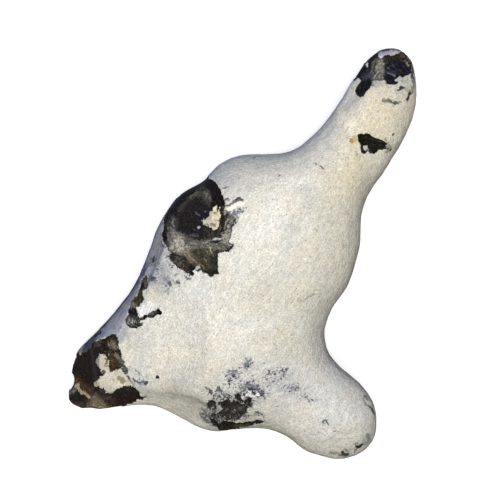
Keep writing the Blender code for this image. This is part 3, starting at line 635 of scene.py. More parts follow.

# Stains, cracks and grooves drawn on the rind, in the same way, and a few painted highlights and
# shadows.
RIND_LINES = (
    # A wide dark band along the broken arm's rim, partly painted shade.
    ("#4b4e5c", 6.5, 0.7, ((-81.5, -49.5), (-78.5, -46.25), (-75, -43.25))),
    ("#3f3a32", 0.9, 0.9, ((37.7, 45.85), (38.15, 45.55))),
    ("#7a6a52", 0.9, 0.8, ((40.75, 43.85), (41.4, 43))),
    ("#6b6455", 0.6, 0.8, ((19.5, 40), (19.95, 39.8))),
    ("#a08a68", 0.9, 0.5, ((37.5, 13), (38.75, 11.75))),
    ("#b59d7c", 1.2, 0.45, ((28.75, -22.25), (30.25, -23.25))),
    ("#8f897b", 0.35, 0.75, ((29.5, -23.75), (33.5, -21.75), (37.5, -19.5))),
    ("#b98360", 0.7, 0.5, ((17.5, -36.5), (19, -37.5))),
    ("#b98f68", 0.7, 0.5, ((20.5, -38), (21.5, -37.75))),
    ("#a8845f", 0.8, 0.5, ((16.75, -44.5), (18.25, -45.3))),
    ("#b98d66", 0.6, 0.5, ((11, -38.5), (12, -38.2))),
    ("#b07a55", 0.6, 0.5, ((7, -38), (7.5, -37.8))),
    ("#a97c58", 0.6, 0.5, ((-2, -40), (-1.4, -40.3))),
    ("#8a7a60", 0.6, 0.6, ((49.2, 50), (49.6, 49.75))),
    ("#8f8f8a", 2.2, 0.75, ((73.5, 55), (74.75, 54.25))),
    ("#4f504f", 0.9, 0.95, ((73.25, 55.6), (74.4, 55.15))),
    ("#4f504f", 0.9, 0.95, ((74.1, 54.5), (73.7, 53.1), (72.5, 53.2))),
    ("#4c4a42", 0.9, 0.9, ((75.75, 53.2), (74.85, 52.25))),
    ("#85837a", 1.4, 0.7, ((74.75, 52.2), (73.25, 51.2))),
    ("#8d8f9c", 0.8, 0.6, ((59.65, 57.75), (59.9, 55.5))),
    ("#7b7a6d", 0.6, 0.8, ((72.6, 57.35), (73.1, 57.05))),
    ("#bd9c66", 1.0, 0.6, ((56.6, 59), (58, 59))),
    ("#a98a45", 1.3, 0.95, ((55.9, 57.2), (56.4, 56.5))),
    ("#c2a163", 1.3, 0.85, ((56.8, 57.85), (58, 57.5))),
    ("#b5a273", 0.8, 0.6, ((58.25, 56.8), (58.2, 56))),
    ("#d9c79a", 1.2, 0.6, ((56, 55.25), (55.7, 54.4))),
    ("#232422", 1.7, 0.97, ((58.4, -95.7), (59.5, -95.95), (60.8, -95.2))),
    ("#55574f", 1.1, 0.85, ((58.3, -96.7), (57.25, -98.5), (56, -99.8))),
    ("#777a76", 1.0, 0.8, ((57.65, -94.3), (58.7, -93.95))),
    ("#33342f", 1.9, 0.95, ((51.3, -98.7), (52.5, -99.8), (53.8, -100.2))),
    ("#6f716c", 0.8, 0.85, ((53, -96.9), (54.25, -98.2))),
    ("#7f8074", 1.2, 0.75, ((45, -98.7), (48.5, -98.95))),
    ("#5c5d52", 1.2, 0.8, ((49.5, -99.8), (51.5, -100.85), (55, -100.95))),
    ("#5f6664", 1.6, 0.6, ((64, -90.25), (65.5, -92.5))),
    ("#7e827f", 1.8, 0.5, ((65.25, -92.5), (63, -94.75))),
    ("#8d8b88", 0.8, 0.8, ((61, -72), (63, -74.5), (64.5, -75.5))),
    ("#44454c", 0.9, 0.9, ((64.5, -75), (66, -77.25), (67.5, -79.5), (68.2, -80.7))),
    ("#ecebe8", 0.9, 0.85, ((62.75, -71.5), (63.75, -73.5), (65, -75))),
    ("#dddde0", 0.7, 0.8, ((65.5, -74), (66.9, -76.5), (67.65, -78.7))),
    ("#5c5d66", 0.9, 0.7, ((62, -70.25), (63.5, -72.5))),
    ("#4b4d57", 1.2, 0.6, (
        (65.25, -71), (67.2, -75), (68.3, -78.5), (68.75, -83.5), (68.25, -87.5),
    )),
    ("#6f695d", 0.7, 0.9, ((-15.25, 15.9), (-13.75, 15.8), (-12.25, 15))),
    ("#8f8a80", 1.4, 0.9, ((-14.5, 15.1), (-12.75, 14.4))),
    ("#f3efe2", 1.0, 0.9, ((-19.25, 17.1), (-18, 17.2))),
    ("#8c8064", 0.6, 0.8, ((-13.5, 21), (-12, 20.7))),
    ("#9a8c6c", 0.5, 0.8, ((-12.5, 17.75), (-10.25, 17.25))),
    ("#5e5342", 0.5, 0.9, ((-11.9, 22.6), (-11.2, 21.8))),
    ("#7d7565", 0.6, 0.8, ((-17.75, 15.7), (-16, 14.7))),
    # Painted highlight on the raised chalk flake in the crest scar.
    ("#f0e9d4", 0.9, 0.7, ((-14, 19), (-13, 17.5))),
    ("#4a3c28", 0.6, 0.9, ((-68.1, -51.6), (-67, -52.1), (-65.9, -52.2))),
    ("#4a3c28", 0.6, 0.9, ((-66.8, -53.2), (-66.5, -53.5))),
    ("#4a3c28", 0.7, 0.9, ((-67, -54.5), (-66.3, -54.3))),
    ("#5b4d36", 0.5, 0.9, ((-66.4, -55.4), (-66, -55.9))),
    ("#5b4d36", 0.5, 0.8, ((-67.3, -55.7), (-66.9, -56))),
    ("#3f3f3d", 1.5, 0.9, ((-69.5, -59.3), (-68.4, -59.2), (-68, -58.7))),
    ("#8a7a56", 2.0, 0.85, ((-60.5, -61.5), (-59.25, -62.25), (-58.25, -63.5))),
    ("#4a3c20", 1.0, 0.9, ((-59.75, -61.7), (-58.9, -62.3))),
    ("#b3a58f", 1.6, 0.8, ((-72.5, -63.5), (-71.25, -65))),
    ("#a3957c", 0.7, 0.8, ((-63.4, -62.4), (-63.1, -62.7))),
    ("#b9ae9e", 1.6, 0.7, ((-71.25, -52.5), (-70.75, -55.5))),
    ("#3a3c42", 0.7, 0.95, ((-53.2, -61.7), (-52.7, -62.7))),
    ("#55595f", 0.9, 0.95, ((-53, -63), (-50.5, -63.5), (-48.5, -63.8))),
    ("#3d4148", 0.9, 0.95, ((-48.5, -63.6), (-47.6, -64.5), (-46.6, -63.4))),
    ("#8b9096", 1.0, 0.7, ((-51, -64.5), (-49, -65))),
    ("#777b82", 0.6, 0.85, ((-52.7, -56.5), (-51.8, -58.25), (-50.2, -59.3))),
    ("#8d8fa0", 1.0, 0.8, ((-60.25, -37.5), (-61.75, -39.25))),
    ("#77788c", 0.8, 0.8, ((-59.5, -36), (-60.5, -38))),
    ("#2a2932", 0.8, 0.95, ((-69.5, -38.25), (-72.5, -41), (-74.5, -43.25))),
    ("#201f26", 1.3, 0.95, ((-74.25, -43), (-75.75, -44.25), (-77.5, -45.25), (-79.5, -47.5))),
    # Painted highlight on the broken arm's upper rim.
    ("#dedbe0", 0.9, 0.9, ((-73.4, -41.8), (-74.3, -43.8))),
    ("#26242c", 0.8, 0.9, ((-74, -43.25), (-75.25, -45.25), (-76.5, -47.5))),
    ("#a7a4b8", 1.4, 0.9, ((-76.25, -45.25), (-78, -46.75))),
    ("#cfcdd4", 0.8, 0.9, ((-77, -45.5), (-78, -46.3))),
    ("#454a5a", 0.5, 0.8, ((-8.5, 33), (-7, 33.75), (-5.75, 34.5))),
    ("#5a5d66", 0.9, 0.8, ((-7.25, 27.75), (-6.5, 28))),
    # Painted shadow under the edge of a raised flake.
    ("#4f4f56", 0.9, 0.85, ((-6.5, 24.5), (-5, 24.85), (-4, 25.85), (-2, 26.6))),
    ("#2f3037", 1.4, 0.97, ((-2, 27.5), (-1, 28.3), (0.25, 27.9))),
    ("#55565e", 1.2, 0.85, ((-3, 26.9), (-1.5, 27.25), (0.75, 27.3))),
    ("#7f8088", 0.5, 0.7, ((0.5, 28.25), (2, 27.25))),
    ("#56575f", 1.3, 0.85, ((-6.75, 28.1), (-6, 27.9))),
    ("#5b5d66", 0.8, 0.8, ((-3.5, 21.75), (-2, 21))),
    ("#5b5d66", 0.8, 0.8, ((-4, 17.5), (-2.25, 18))),
    ("#4b4d55", 0.8, 0.85, ((-4, 16), (-3, 15))),
    ("#7b7d84", 0.8, 0.7, ((-2, 19.5), (-0.5, 18.5))),
    ("#faf5e6", 2.0, 0.95, ((-5.5, 23.25), (-3, 24.5), (0, 25.5), (1.5, 25.75))),
    ("#3a4152", 0.9, 0.9, ((0.75, 21.75), (1.75, 22))),
    ("#2f3440", 0.7, 0.85, ((2.75, 23.25), (3.4, 23.4))),
    ("#8f96a2", 0.8, 0.7, ((-4, 20), (-1, 21.5), (1.5, 22.5))),
    ("#8c8d90", 1.0, 0.6, ((-5, 21), (-3, 19), (-3.5, 17))),
    ("#5c6068", 0.6, 0.7, ((0, 21.75), (-2, 20.25))),
    ("#3a3d46", 0.8, 0.85, ((-43.75, -3.5), (-42.5, -2.25))),
    ("#50545e", 0.6, 0.8, ((-41.75, -7.4), (-41, -7.15))),
    ("#444852", 0.9, 0.8, ((-43.75, -11), (-43.85, -13))),
    ("#7b7f88", 0.6, 0.8, ((-45.5, -10), (-45, -12), (-45.5, -14))),
    ("#555962", 0.5, 0.8, ((-41.85, -16.15), (-41.5, -16.3))),
    ("#5b5f68", 1.2, 0.85, ((-35.25, -13.5), (-35, -15.5))),
    ("#8a8c90", 1.4, 0.7, ((-38, -11.5), (-35.5, -13))),
    ("#3d4148", 0.7, 0.9, ((-31.5, -13), (-30.75, -14), (-29.75, -13.8))),
    ("#5a5e62", 0.9, 0.75, ((-27.5, -10.5), (-26, -11.75), (-24.5, -11.25))),
    ("#1d1d22", 0.8, 0.95, ((-34.1, -5.85), (-33.8, -5.65))),
    ("#6f7278", 0.8, 0.7, ((-33, -10.5), (-31, -9.5))),
    ("#83868b", 0.6, 0.7, ((-38.5, -18.5), (-35.5, -17), (-36, -20))),
    ("#83858a", 0.5, 0.7, ((-40.5, -27), (-39.75, -24.75))),
    ("#3f4146", 0.5, 0.9, ((-49.5, -34.5), (-48.85, -34.35))),
    ("#a9855a", 0.5, 0.6, ((-41.6, -34), (-41.2, -34.2))),
    ("#25262e", 1.2, 1.0, ((-41.5, -61.3), (-41, -61.5))),
    ("#9a9c9e", 0.5, 0.5, ((-51, -66.5), (-49, -65.5))),
    ("#3c3a36", 0.5, 0.9, ((-57.75, -58), (-56.75, -60.25), (-55.25, -62))),
    ("#4a4c55", 0.6, 0.9, ((-17.5, -65.75), (-16.5, -66.9))),
    ("#42444e", 1.0, 0.9, ((-15.5, -67.6), (-14.2, -69.25))),
    ("#6b6e78", 0.6, 0.8, ((-16.5, -66.9), (-15.5, -67.6))),
    ("#50556a", 1.2, 0.85, ((-10.65, -66.85), (-9.75, -67.75))),
    ("#5d6170", 0.7, 0.8, ((-9.75, -67.75), (-9.7, -69), (-8.75, -69.8))),
    ("#6f737b", 1.3, 0.8, ((-8.25, -69.75), (-7.25, -70.5))),
    ("#32364a", 0.8, 0.9, ((-5.5, -62.9), (-5, -62.6))),
    ("#3c4048", 0.9, 0.9, ((-3.4, -60), (-2.75, -61))),
    ("#6c717c", 0.7, 0.8, ((-6, -58.25), (-4, -57.75), (-1.75, -58.25))),
    ("#7c818c", 0.9, 0.7, ((-5, -59.5), (-1.5, -59))),
    ("#7c8396", 1.0, 0.8, ((6, -52), (3.75, -53), (2.25, -54.5), (2.25, -56), (3.5, -56.75))),
    ("#5d6578", 0.5, 0.8, ((2.5, -54), (4, -55.5))),
    ("#6b6e70", 0.45, 0.9, ((11.75, -53.75), (12.75, -55.5))),
    ("#5c6068", 0.8, 0.85, ((14, -57.5), (15.1, -59.5))),
    ("#7d8087", 0.5, 0.7, ((12.25, -60.5), (14.5, -59.75))),
    ("#4e525a", 0.6, 0.9, ((18.25, -57), (19, -57.65))),
    ("#6d7178", 0.9, 0.8, ((20.5, -58), (22, -58.5), (21.5, -60.5))),
    ("#5f636b", 0.7, 0.8, ((23, -57), (24.25, -57))),
    ("#80848b", 0.45, 0.7, ((15.5, -63), (18.5, -61))),
    ("#4e525a", 0.5, 0.8, ((18, -64.5), (18.65, -64.8))),
    ("#8d9197", 0.5, 0.6, ((15.25, -64), (15.5, -65.5))),
    ("#767c8a", 1.3, 0.75, ((1.5, -66.5), (5, -65.25), (8, -66.5))),
    ("#565b68", 1.0, 0.8, ((8, -65.5), (9, -67.5), (10.5, -69.25))),
    ("#33363f", 0.8, 0.9, ((4.3, -67), (5.5, -67.5), (6.75, -68.85), (7.5, -69.75))),
    ("#33353b", 0.9, 0.9, ((8.75, -70.85), (11, -70.45))),
    ("#7a7c80", 0.6, 0.7, ((11, -70.45), (12.5, -71.25), (11.75, -71.9))),
    ("#4a4d56", 0.6, 0.85, ((10.75, -68), (10.75, -70))),
    ("#5a5d66", 0.6, 0.8, ((8.5, -65), (8.75, -67), (10, -68.5))),
    ("#fdfdfb", 1.4, 0.95, ((4.8, -68.1), (5.4, -68.5))),
    ("#fdfdfb", 1.3, 0.9, ((8.75, -69.6), (9.5, -69.9))),
    ("#fdfdfb", 1.0, 0.8, ((1.25, -71.5), (1.75, -71.2))),
    ("#f8f7f3", 1.4, 0.7, ((3, -69.75), (6, -70.25), (7, -70.75))),
    ("#5b606c", 0.7, 0.8, ((3, -71.75), (4, -70.5))),
    ("#8f95a6", 0.7, 0.7, ((24, -66.5), (26.5, -66), (29, -65.75))),
    ("#6c7284", 0.5, 0.8, ((28.75, -66), (29.25, -66.2))),
    ("#9aa0ac", 0.9, 0.55, ((30, -70), (32, -71))),
    ("#7d838a", 0.8, 0.8, ((34.5, -72.5), (35.15, -72.8))),
    ("#a0a4aa", 0.6, 0.5, ((35.5, -74.5), (35.75, -76))),
    ("#63676a", 0.8, 0.9, ((40.7, -83.2), (41.5, -82.7), (41.9, -83.7))),
    ("#4f5356", 0.9, 0.9, ((42.75, -82.6), (43.5, -83.1), (44.4, -84.4))),
    ("#5f6164", 0.6, 0.8, ((18, -75.75), (18.65, -75.75))),
    ("#55585c", 1.1, 0.85, ((8, -78.9), (9.15, -79.4))),
    ("#43444a", 0.7, 0.9, ((10.25, -78.95), (11.5, -80.2))),
    ("#6a6b6a", 0.5, 0.8, ((11.5, -80.2), (12.25, -81.75), (12.7, -82.7))),
    ("#9c9b92", 0.4, 0.7, ((5, -80.3), (8, -79.7))),
    ("#4b4e52", 0.6, 0.9, ((4.3, -80), (4.7, -80.2))),
    ("#4d4f53", 0.5, 0.85, ((1.4, -80.65), (3, -80.95), (3.3, -81.8))),
    ("#4a4e58", 0.7, 0.9, ((6.3, -74.2), (6.8, -74.5))),
    ("#33353b", 0.9, 0.9, ((2.25, -73), (3, -74.5))),
    ("#33353b", 0.7, 0.9, ((5.1, -75.75), (5.4, -74.5))),
    ("#6c6f76", 0.6, 0.7, ((-5.65, -66), (-4.65, -67.3))),
    ("#7f8286", 0.8, 0.7, ((0, -80), (3.5, -79.75))),
    ("#6e716f", 0.8, 0.8, ((-20, -79), (-19, -81.25), (-17, -83.75))),
    ("#55574f", 0.9, 0.85, ((-17.75, -81.5), (-16, -83.75))),
    ("#3c3d38", 0.8, 0.9, ((-14.5, -83), (-12.5, -84.5), (-11.5, -86))),
    ("#6e716f", 0.7, 0.8, ((-18.5, -77.25), (-17.5, -77.5))),
    ("#5c5e5c", 0.7, 0.8, ((-18.75, -79), (-17.75, -79.5))),
    ("#84877f", 0.7, 0.7, ((-18, -78), (-15.5, -80.5))),
    ("#5e605c", 0.8, 0.8, ((-13.5, -78.25), (-12, -77.75))),
    ("#3c3e3c", 0.8, 0.8, ((-13.5, -82.25), (-11, -84))),
    ("#2f3340", 0.8, 0.95, ((78.7, 81.3), (79.2, 82.4), (80, 83.4))),
    ("#2a2d38", 1.2, 0.95, ((80, 83.5), (81, 84), (81.8, 83.8))),
    ("#7d8189", 0.7, 0.8, ((81.8, 83.6), (83, 83.2))),
    ("#222325", 1.3, 0.95, ((83.5, 77.8), (84.15, 79.1), (84.8, 80.8))),
    ("#70747c", 0.5, 0.8, ((84.25, 82), (84.75, 82.4))),
    ("#77786f", 1.4, 0.9, ((71.5, 77.1), (73, 77.3), (74.75, 77))),
    ("#4b4c46", 0.9, 0.9, ((73.5, 77.8), (74.7, 77.6))),
    ("#8f908a", 0.8, 0.7, ((72, 78.2), (73, 78))),
    ("#4d4e48", 1.0, 0.9, ((75, 76.7), (76.75, 75.85), (78.75, 76.1))),
    ("#25262a", 0.9, 0.9, ((77.3, 75.6), (78, 75.6))),
    ("#6d6e68", 0.8, 0.8, ((79.25, 75.8), (80.5, 76.3))),
    ("#6f7378", 1.5, 0.8, ((65.75, 87), (66.25, 85.25))),
    ("#a9aba9", 1.2, 0.6, ((67.25, 86), (68, 84))),
    ("#9aa0a6", 0.7, 0.6, ((67, 87), (68.5, 86))),
    ("#3a3a3c", 0.5, 0.85, ((85, 98), (85.7, 93.5), (86, 89.5), (86.25, 86.5))),
    ("#2c2d30", 1.0, 0.9, ((85.8, 96.5), (86, 92.5), (86.3, 88))),
    ("#6f7174", 0.9, 0.7, ((86.3, 88), (86.7, 84.5), (86.3, 82), (85.5, 80.5))),
    ("#3f4254", 0.9, 0.9, (
        (65.5, 98.75), (69, 101.6), (72.5, 102.5), (76, 103.2), (79, 103.1), (80.5, 102.2),
    )),
    ("#83858f", 1.0, 0.8, ((66, 99), (67.5, 100.25))),
    ("#5c5e60", 0.4, 0.7, ((68.6, 69.1), (69.15, 69.5))),
    ("#5c5e60", 0.4, 0.7, ((72.6, 69), (73, 68.6))),
    ("#53534e", 0.45, 0.8, ((76.25, 60), (76.8, 60.4))),
    ("#a39d8c", 0.5, 0.6, ((63, 47.5), (60, 42.5))),
    ("#a39d8c", 0.4, 0.6, ((60.5, 49), (58.5, 46))),
    ("#57554c", 0.8, 0.9, ((76.25, 59.85), (76.85, 60.4))),
    ("#bdb49c", 0.6, 0.7, ((72.5, 58.75), (73, 58.25))),
    ("#8a8371", 0.6, 0.7, ((58.5, 51), (58.8, 49.5))),
    ("#8d8573", 0.5, 0.6, ((68.5, 72), (69, 71.5))),
    ("#3a3a34", 0.5, 0.9, ((37.4, 45.7), (37.75, 45.3))),
    ("#6b5a40", 0.5, 0.9, ((40, 44.1), (40.7, 43.5))),
    ("#5c5c5c", 0.4, 0.9, ((19.3, 39.7), (19.7, 39.9))),
    ("#6f7074", 0.4, 0.9, ((23.3, 44.8), (23.7, 44.7))),
    ("#4a4c58", 0.5, 0.85, ((6.75, 48.75), (8, 48.85))),
    ("#6b6b62", 0.4, 0.8, ((56.8, 45.7), (57.2, 45.8))),
    ("#8f8b80", 0.3, 0.6, ((31.5, -23), (36, -19.5), (39, -17))),
    ("#8f8f8a", 0.3, 0.6, ((30, 35.25), (32, 33.5), (34, 31.5))),
    ("#8f9090", 0.8, 0.7, ((42.5, -72.5), (43, -72.8))),
    ("#8f9090", 0.8, 0.7, ((37.75, -72), (38.4, -72.3))),
    ("#8d8f90", 0.9, 0.8, ((46.7, -88.1), (47.5, -88.3))),
    ("#c0a070", 0.6, 0.5, ((-18.5, -39.25), (-18, -39))),
    ("#b9a27a", 0.5, 0.5, ((29, -21.5), (30.5, -23))),
)

# Blue-grey flecks where the rind is thin: centre, half width and height, turn, density.
FLECKS = (
    ((4, -54.5), (3, 3.5), -40, 0.9),
    ((-3.5, -59.5), (4, 3), 15, 0.85),
    ((-5.5, -63), (2, 1.5), 0, 0.8),
    ((15, -59), (4.5, 3.5), 0, 0.55),
    ((22, -58), (4, 3), 0, 0.65),
    ((17, -62.5), (4, 2.5), 20, 0.5),
    ((7, -67), (6, 3.5), -15, 0.8),
    ((1.5, -68.5), (4.5, 3), 0, 0.55),
    ((11, -70), (3, 2), 0, 0.7),
    ((-10.5, -67.5), (2.5, 2.5), 0, 0.7),
    ((-9, -71.5), (6, 3.5), 0, 0.55),
    ((-16, -67.5), (3.5, 3), -40, 0.6),
    ((-18, -79), (3.5, 4), -30, 0.6),
    ((-13, -81.5), (5, 4), -20, 1.0),
    ((-11, -84), (4, 3), 0, 0.9),
    ((-11.5, -74.5), (3, 3.5), 0, 0.7),
    ((-4.5, -71.5), (7, 1.5), 0, 0.8),
    ((1, -71), (4, 2.5), 0, 0.7),
    ((5.5, -73.5), (2.5, 2.5), 0, 0.9),
    ((0, -81), (6, 2), 0, 0.8),
    ((-1, -65), (8, 5), 0, 0.35),
    ((26.5, -66.5), (5, 2), 0, 0.6),
    ((31.5, -71), (3.5, 2.5), 0, 0.5),
    ((35.5, -73), (2, 2), 0, 0.55),
    ((42.5, -83.5), (3, 2), 0, 0.5),
    ((30, -67.5), (15, 7), 0, 0.25),
    ((7.5, -62.5), (22.5, 11), 0, 0.3),
    ((3, -76), (5, 5), 0, 0.5),
    ((7.5, -80), (5, 2.5), 0, 0.5),
    ((-40, -6.5), (7, 11), -25, 0.5),
    ((-44, -12), (2.5, 3), 0, 0.8),
    ((-36, -14), (2.5, 3), 0, 0.8),
    ((-31, -13.5), (2.5, 2), 0, 0.65),
    ((-25, -10), (4, 2), 0, 0.7),
    ((-36, 1.5), (2, 4), 0, 0.6),
    ((-38.5, 5.5), (1.5, 2.5), 0, 0.7),
    ((-43.5, -3), (2, 2), 0, 0.7),
    ((-34.5, -5.5), (1.5, 1.5), 0, 0.5),
    ((-53.5, -33.5), (5, 3.5), 0, 0.8),
    ((-41.5, 8.5), (1.5, 4.5), 20, 0.6),
    ((-44.5, -3.5), (2, 4.5), -30, 0.7),
    ((-4, 20.5), (4.5, 3.5), 30, 0.75),
    ((-3, 16.5), (2.5, 2.5), 0, 0.7),
    ((0.5, 22.5), (4, 2), 30, 0.6),
    ((-6.5, 27.5), (2, 2), 0, 0.7),
    ((-7, 33.5), (3, 1.5), 30, 0.5),
    ((-4.5, 4.5), (2.5, 2.5), 0, 0.8),
    ((-50, -64), (5, 3), 0, 0.5),
    ((-51, -58.5), (3, 3), 0, 0.4),
    ((-56.5, -56.5), (2.5, 3), 0, 0.6),
    ((-45, -62.5), (6, 4), 0, 0.3),
    ((67, 85.5), (3, 2), 0, 0.7),
    ((82, 82.5), (5, 4), 0, 0.5),
    ((75.5, 77), (6, 2), 0, 0.6),
    ((82, 88), (4, 2.5), 0, 0.4),
    ((74, 84.5), (3, 1.5), 0, 0.5),
    ((34.5, 30), (6.5, 6.5), -25, 0.35),
    ((25, 15), (6, 9), -20, 0.2),
    ((53.5, -99.5), (3, 1.5), 0, 0.5),
    ((60, -95.5), (2, 1.5), 0, 0.5),
    ((47.5, -87.5), (2, 1.5), 0, 0.4),
    ((74, 54), (2.5, 2), 0, 0.5),
)


# ---------------------------------------------------------------- plan shapes and mesh values

# Wavelength and sway in mm, and turn in radians, of each wave in a natural edge.
WANDER = ((7.3, 0.26, 0.4), (3.1, 0.20, 1.3), (1.7, 0.16, 2.2))
# How far each wave bends across and along itself, in radians.
WANDER_BENDS = (1.7, 1.3)
# How far under the rim the upper face's own tones fade out, in mm.
FACE_DEPTH = 10.0


def linear(code):
    """Linear RGB from an sRGB hex code such as #e8e2d4."""
    parts = [int(code[i:i + 2], 16) / 255 for i in (1, 3, 5)]
    return tuple(p / 12.92 if p <= 0.04045 else ((p + 0.055) / 1.055) ** 2.4 for p in parts)


def eased(value, low, high):
    """0 below low, 1 above high, and a smooth step between."""
    t = np.clip((value - low) / (high - low), 0, 1)
    return t * t * (3 - 2 * t)


def near_line(points, line):
    """Distance of plan points from a line of straight runs."""
    nearest = np.full(len(points), np.inf)
    for a, b in zip(np.array(line[:-1], float), np.array(line[1:], float)):
        along = b - a
        t = np.clip((points - a) @ along / (along @ along), 0, 1)
        nearest = np.minimum(nearest, np.hypot(*(points - a - t[:, None] * along).T))
    return nearest


def inward(points, outline):
    """How far plan points lie inside an outline, less than 0 outside it."""
    closed = (*outline, outline[0])
    nearest = near_line(points, closed)
    within = np.zeros(len(points), bool)
    x, y = points.T
    for (ax, ay), (bx, by) in zip(closed, closed[1:]):
        if ay != by:
            crosses = (ay > y) != (by > y)
            within ^= crosses & (x < ax + (y - ay) * (bx - ax) / (by - ay))
    return np.where(within, nearest, -nearest)


def round_spot(plan, place, half, turn):
    """1 at a spot's centre, fading to nothing past its half width and height."""
    angle = math.radians(turn)
    x, y = (plan - place).T
    u = (x * math.cos(angle) + y * math.sin(angle)) / half[0]
    v = (y * math.cos(angle) - x * math.sin(angle)) / half[1]
    return np.exp(-(u**2 + v**2))


def seen_from_above(points):
    """Where points of the stone show on the rim's plane from the eye."""
    eye = np.array(EYE)
    reach = (eye[2] - RIM_HEIGHT) / (eye[2] - points[:, 2:])
    return eye[:2] + (points[:, :2] - eye[:2]) * reach


def wandering(plan):
    """Plan points moved a little to and fro, so that a drawn edge runs like a natural one."""
    moved = plan.copy()
    for length, sway, turn in WANDER:
        u = plan @ (math.cos(turn), math.sin(turn)) * 2 * math.pi / length
        v = plan @ (-math.sin(turn), math.cos(turn)) * 2 * math.pi / length
        moved[:, 0] += sway * np.sin(u + WANDER_BENDS[0] * np.sin(v))
        moved[:, 1] += sway * np.cos(v + WANDER_BENDS[1] * np.sin(u))
    return moved


def below_rim(points, start=0.0):
    """How far each point lies lower than start mm under the rim, and 0 for one above that."""
    return np.clip(RIM_HEIGHT - start - points[:, 2], 0, None)


def on_face(points):
    """1 on the upper face, fading to 0 down the sides."""
    return eased(points[:, 2], RIM_HEIGHT - FACE_DEPTH, RIM_HEIGHT)


def read(items, name, width, kind=np.float32):
    """One property of all the points or edges of a mesh, with a row for each."""
    values = np.empty(len(items) * width, kind)
    items.foreach_get(name, values)
    return values.reshape(-1, width)


def read_points(mesh):
    return read(mesh.vertices, "co", 3).astype(float) / MM


def read_normals(mesh):
    return read(mesh.vertices, "normal", 3)


def read_edges(mesh):
    return read(mesh.edges, "vertices", 2, np.int32)


def write_points(mesh, points):
    mesh.vertices.foreach_set("co", (points * MM).astype(np.float32).ravel())
    mesh.update()


def store(mesh, name, values):
    """Keep a number, or a colour, for each point of the mesh."""
    colour = np.ndim(values) == 2
    kind = "FLOAT_COLOR" if colour else "FLOAT"
    attribute = mesh.attributes.new(name, kind, "POINT")
    attribute.data.foreach_set("color" if colour else "value", np.ravel(values).astype(np.float32))


def spread(values, edges, passes, share=0.5):
    """Each point's values averaged with its neighbours', over and over."""
    ends = np.concatenate([edges[:, 0], edges[:, 1]])
    others = np.concatenate([edges[:, 1], edges[:, 0]])
    count = np.bincount(ends, minlength=len(values))[:, None]
    for _ in range(passes):
        near = np.column_stack([
            np.bincount(ends, weights=column[others], minlength=len(values))
            for column in values.T
        ])
        values = values + share * (near / count - values)
    return values


def new_mesh(source):
    """What an object's modifiers make, as a mesh of its own."""
    seen = source.evaluated_get(bpy.context.evaluated_depsgraph_get())
    return bpy.data.meshes.new_from_object(seen)


def feed(tree, node, inputs):
    """Inputs of a node linked from a socket, linked from a node's result, or set to a value."""
    for key, value in inputs.items():
        if isinstance(value, bpy.types.Node):
            value = next(socket for socket in value.outputs if socket.enabled)
        if isinstance(value, bpy.types.NodeSocket):
            tree.links.new(value, node.inputs[key])
        else:
            node.inputs[key].default_value = value


def add_node(tree, kind, inputs=None, **settings):
    """A new node with its settings and its inputs."""
    node = tree.nodes.new(kind)
    for name, value in settings.items():
        setattr(node, name, value)
    feed(tree, node, inputs or {})
    return node


# ---------------------------------------------------------------- the stone's skin

# Points of the frame's solid that are this near each other, in mm, are one.
MERGE = 0.01
# Passes that smooth the skin's facets out, and as many that give back what they took.
SKIN_PASSES = 18

# Valleys between the body and its limbs: centre, half width and height, turn in degrees.
VALLEYS = (
    ((-24, -33), (32, 36), 0),
    ((-38, -73), (34, 15), -6),
    ((-18, -78), (22, 16), -35),
    ((57, -96), (14, 9), 0),
)
VALLEY_PASSES = 400
VALLEY_SHARE = 0.5
# The share grows from nothing to full over these: the spot's strength, how far the face looks
# up, and the mm above the rim.
VALLEY_SPOT = (0.2, 0.7)
VALLEY_FACING = (0.05, 0.3)
VALLEY_ABOVE = (-1, 1)


def with_soft_valleys(points, edges, normals):
    """The upper face's height evened out over the valleys between the body and its limbs."""
    spots = np.max([round_spot(points[:, :2], *valley) for valley in VALLEYS], axis=0)
    share = (
        VALLEY_SHARE * eased(spots, *VALLEY_SPOT) * eased(normals[:, 2], *VALLEY_FACING)
        * eased(points[:, 2] - RIM_HEIGHT, *VALLEY_ABOVE)
    )
    height = spread(points[:, 2:], edges, VALLEY_PASSES, share[:, None])
    return np.column_stack([points[:, :2], height])


def fine_skin(step):
    """The frame's solid under an even skin of small faces, with its facets smoothed out."""
    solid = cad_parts[NODE].data.copy()
    form = bmesh.new()
    form.from_mesh(solid)
    bmesh.ops.remove_doubles(form, verts=form.verts, dist=MERGE * MM)
    form.to_mesh(solid)
    form.free()
    solid.materials.clear()
    skin = bpy.data.objects.new("skin", solid)
    bpy.context.collection.objects.link(skin)
    remesh = skin.modifiers.new("even", "REMESH")
    remesh.mode = "VOXEL"
    remesh.voxel_size = step
    mesh = new_mesh(skin)
    bpy.data.objects.remove(skin)
    points, edges = read_points(mesh), read_edges(mesh)
    smooth = spread(points, edges, SKIN_PASSES)
    smooth += spread(points - smooth, edges, SKIN_PASSES)
    write_points(mesh, smooth)
    write_points(mesh, with_soft_valleys(smooth, edges, read_normals(mesh)))
    return mesh


# ---------------------------------------------------------------- what lies where on the skin

# A depth that is outside everything, in mm.
FAR = -50.0
# Below the rim a bare patch narrows by this many mm down to its foot, and its edge sways by up
# to this much, in full from 3 mm down.
LOW_TAPER = 4.0
LOW_SWAY = 0.8
FULL_SWAY_UNDER = 3.0
# The sway's two waves: radians for each mm of height, and mm in plan for each radian of the bend
# that carries it round the stone. Then how much both bend.
LOW_WAVES = ((1.1, 3.0), (2.3, 2.5))
LOW_BEND = 2.0
# The scar on the back begins this many mm under the rim.
BACK_UNDER = 3.0
# How much a drawn mark narrows for each mm under the rim.
LINE_TAPER = 0.4
# The same for a remnant and a stained patch, and how far under the rim that begins.
REMNANT_TAPER = 0.5
REMNANT_UNDER = 11.0
PATCH_TAPER = 0.6
PATCH_UNDER = 3.0
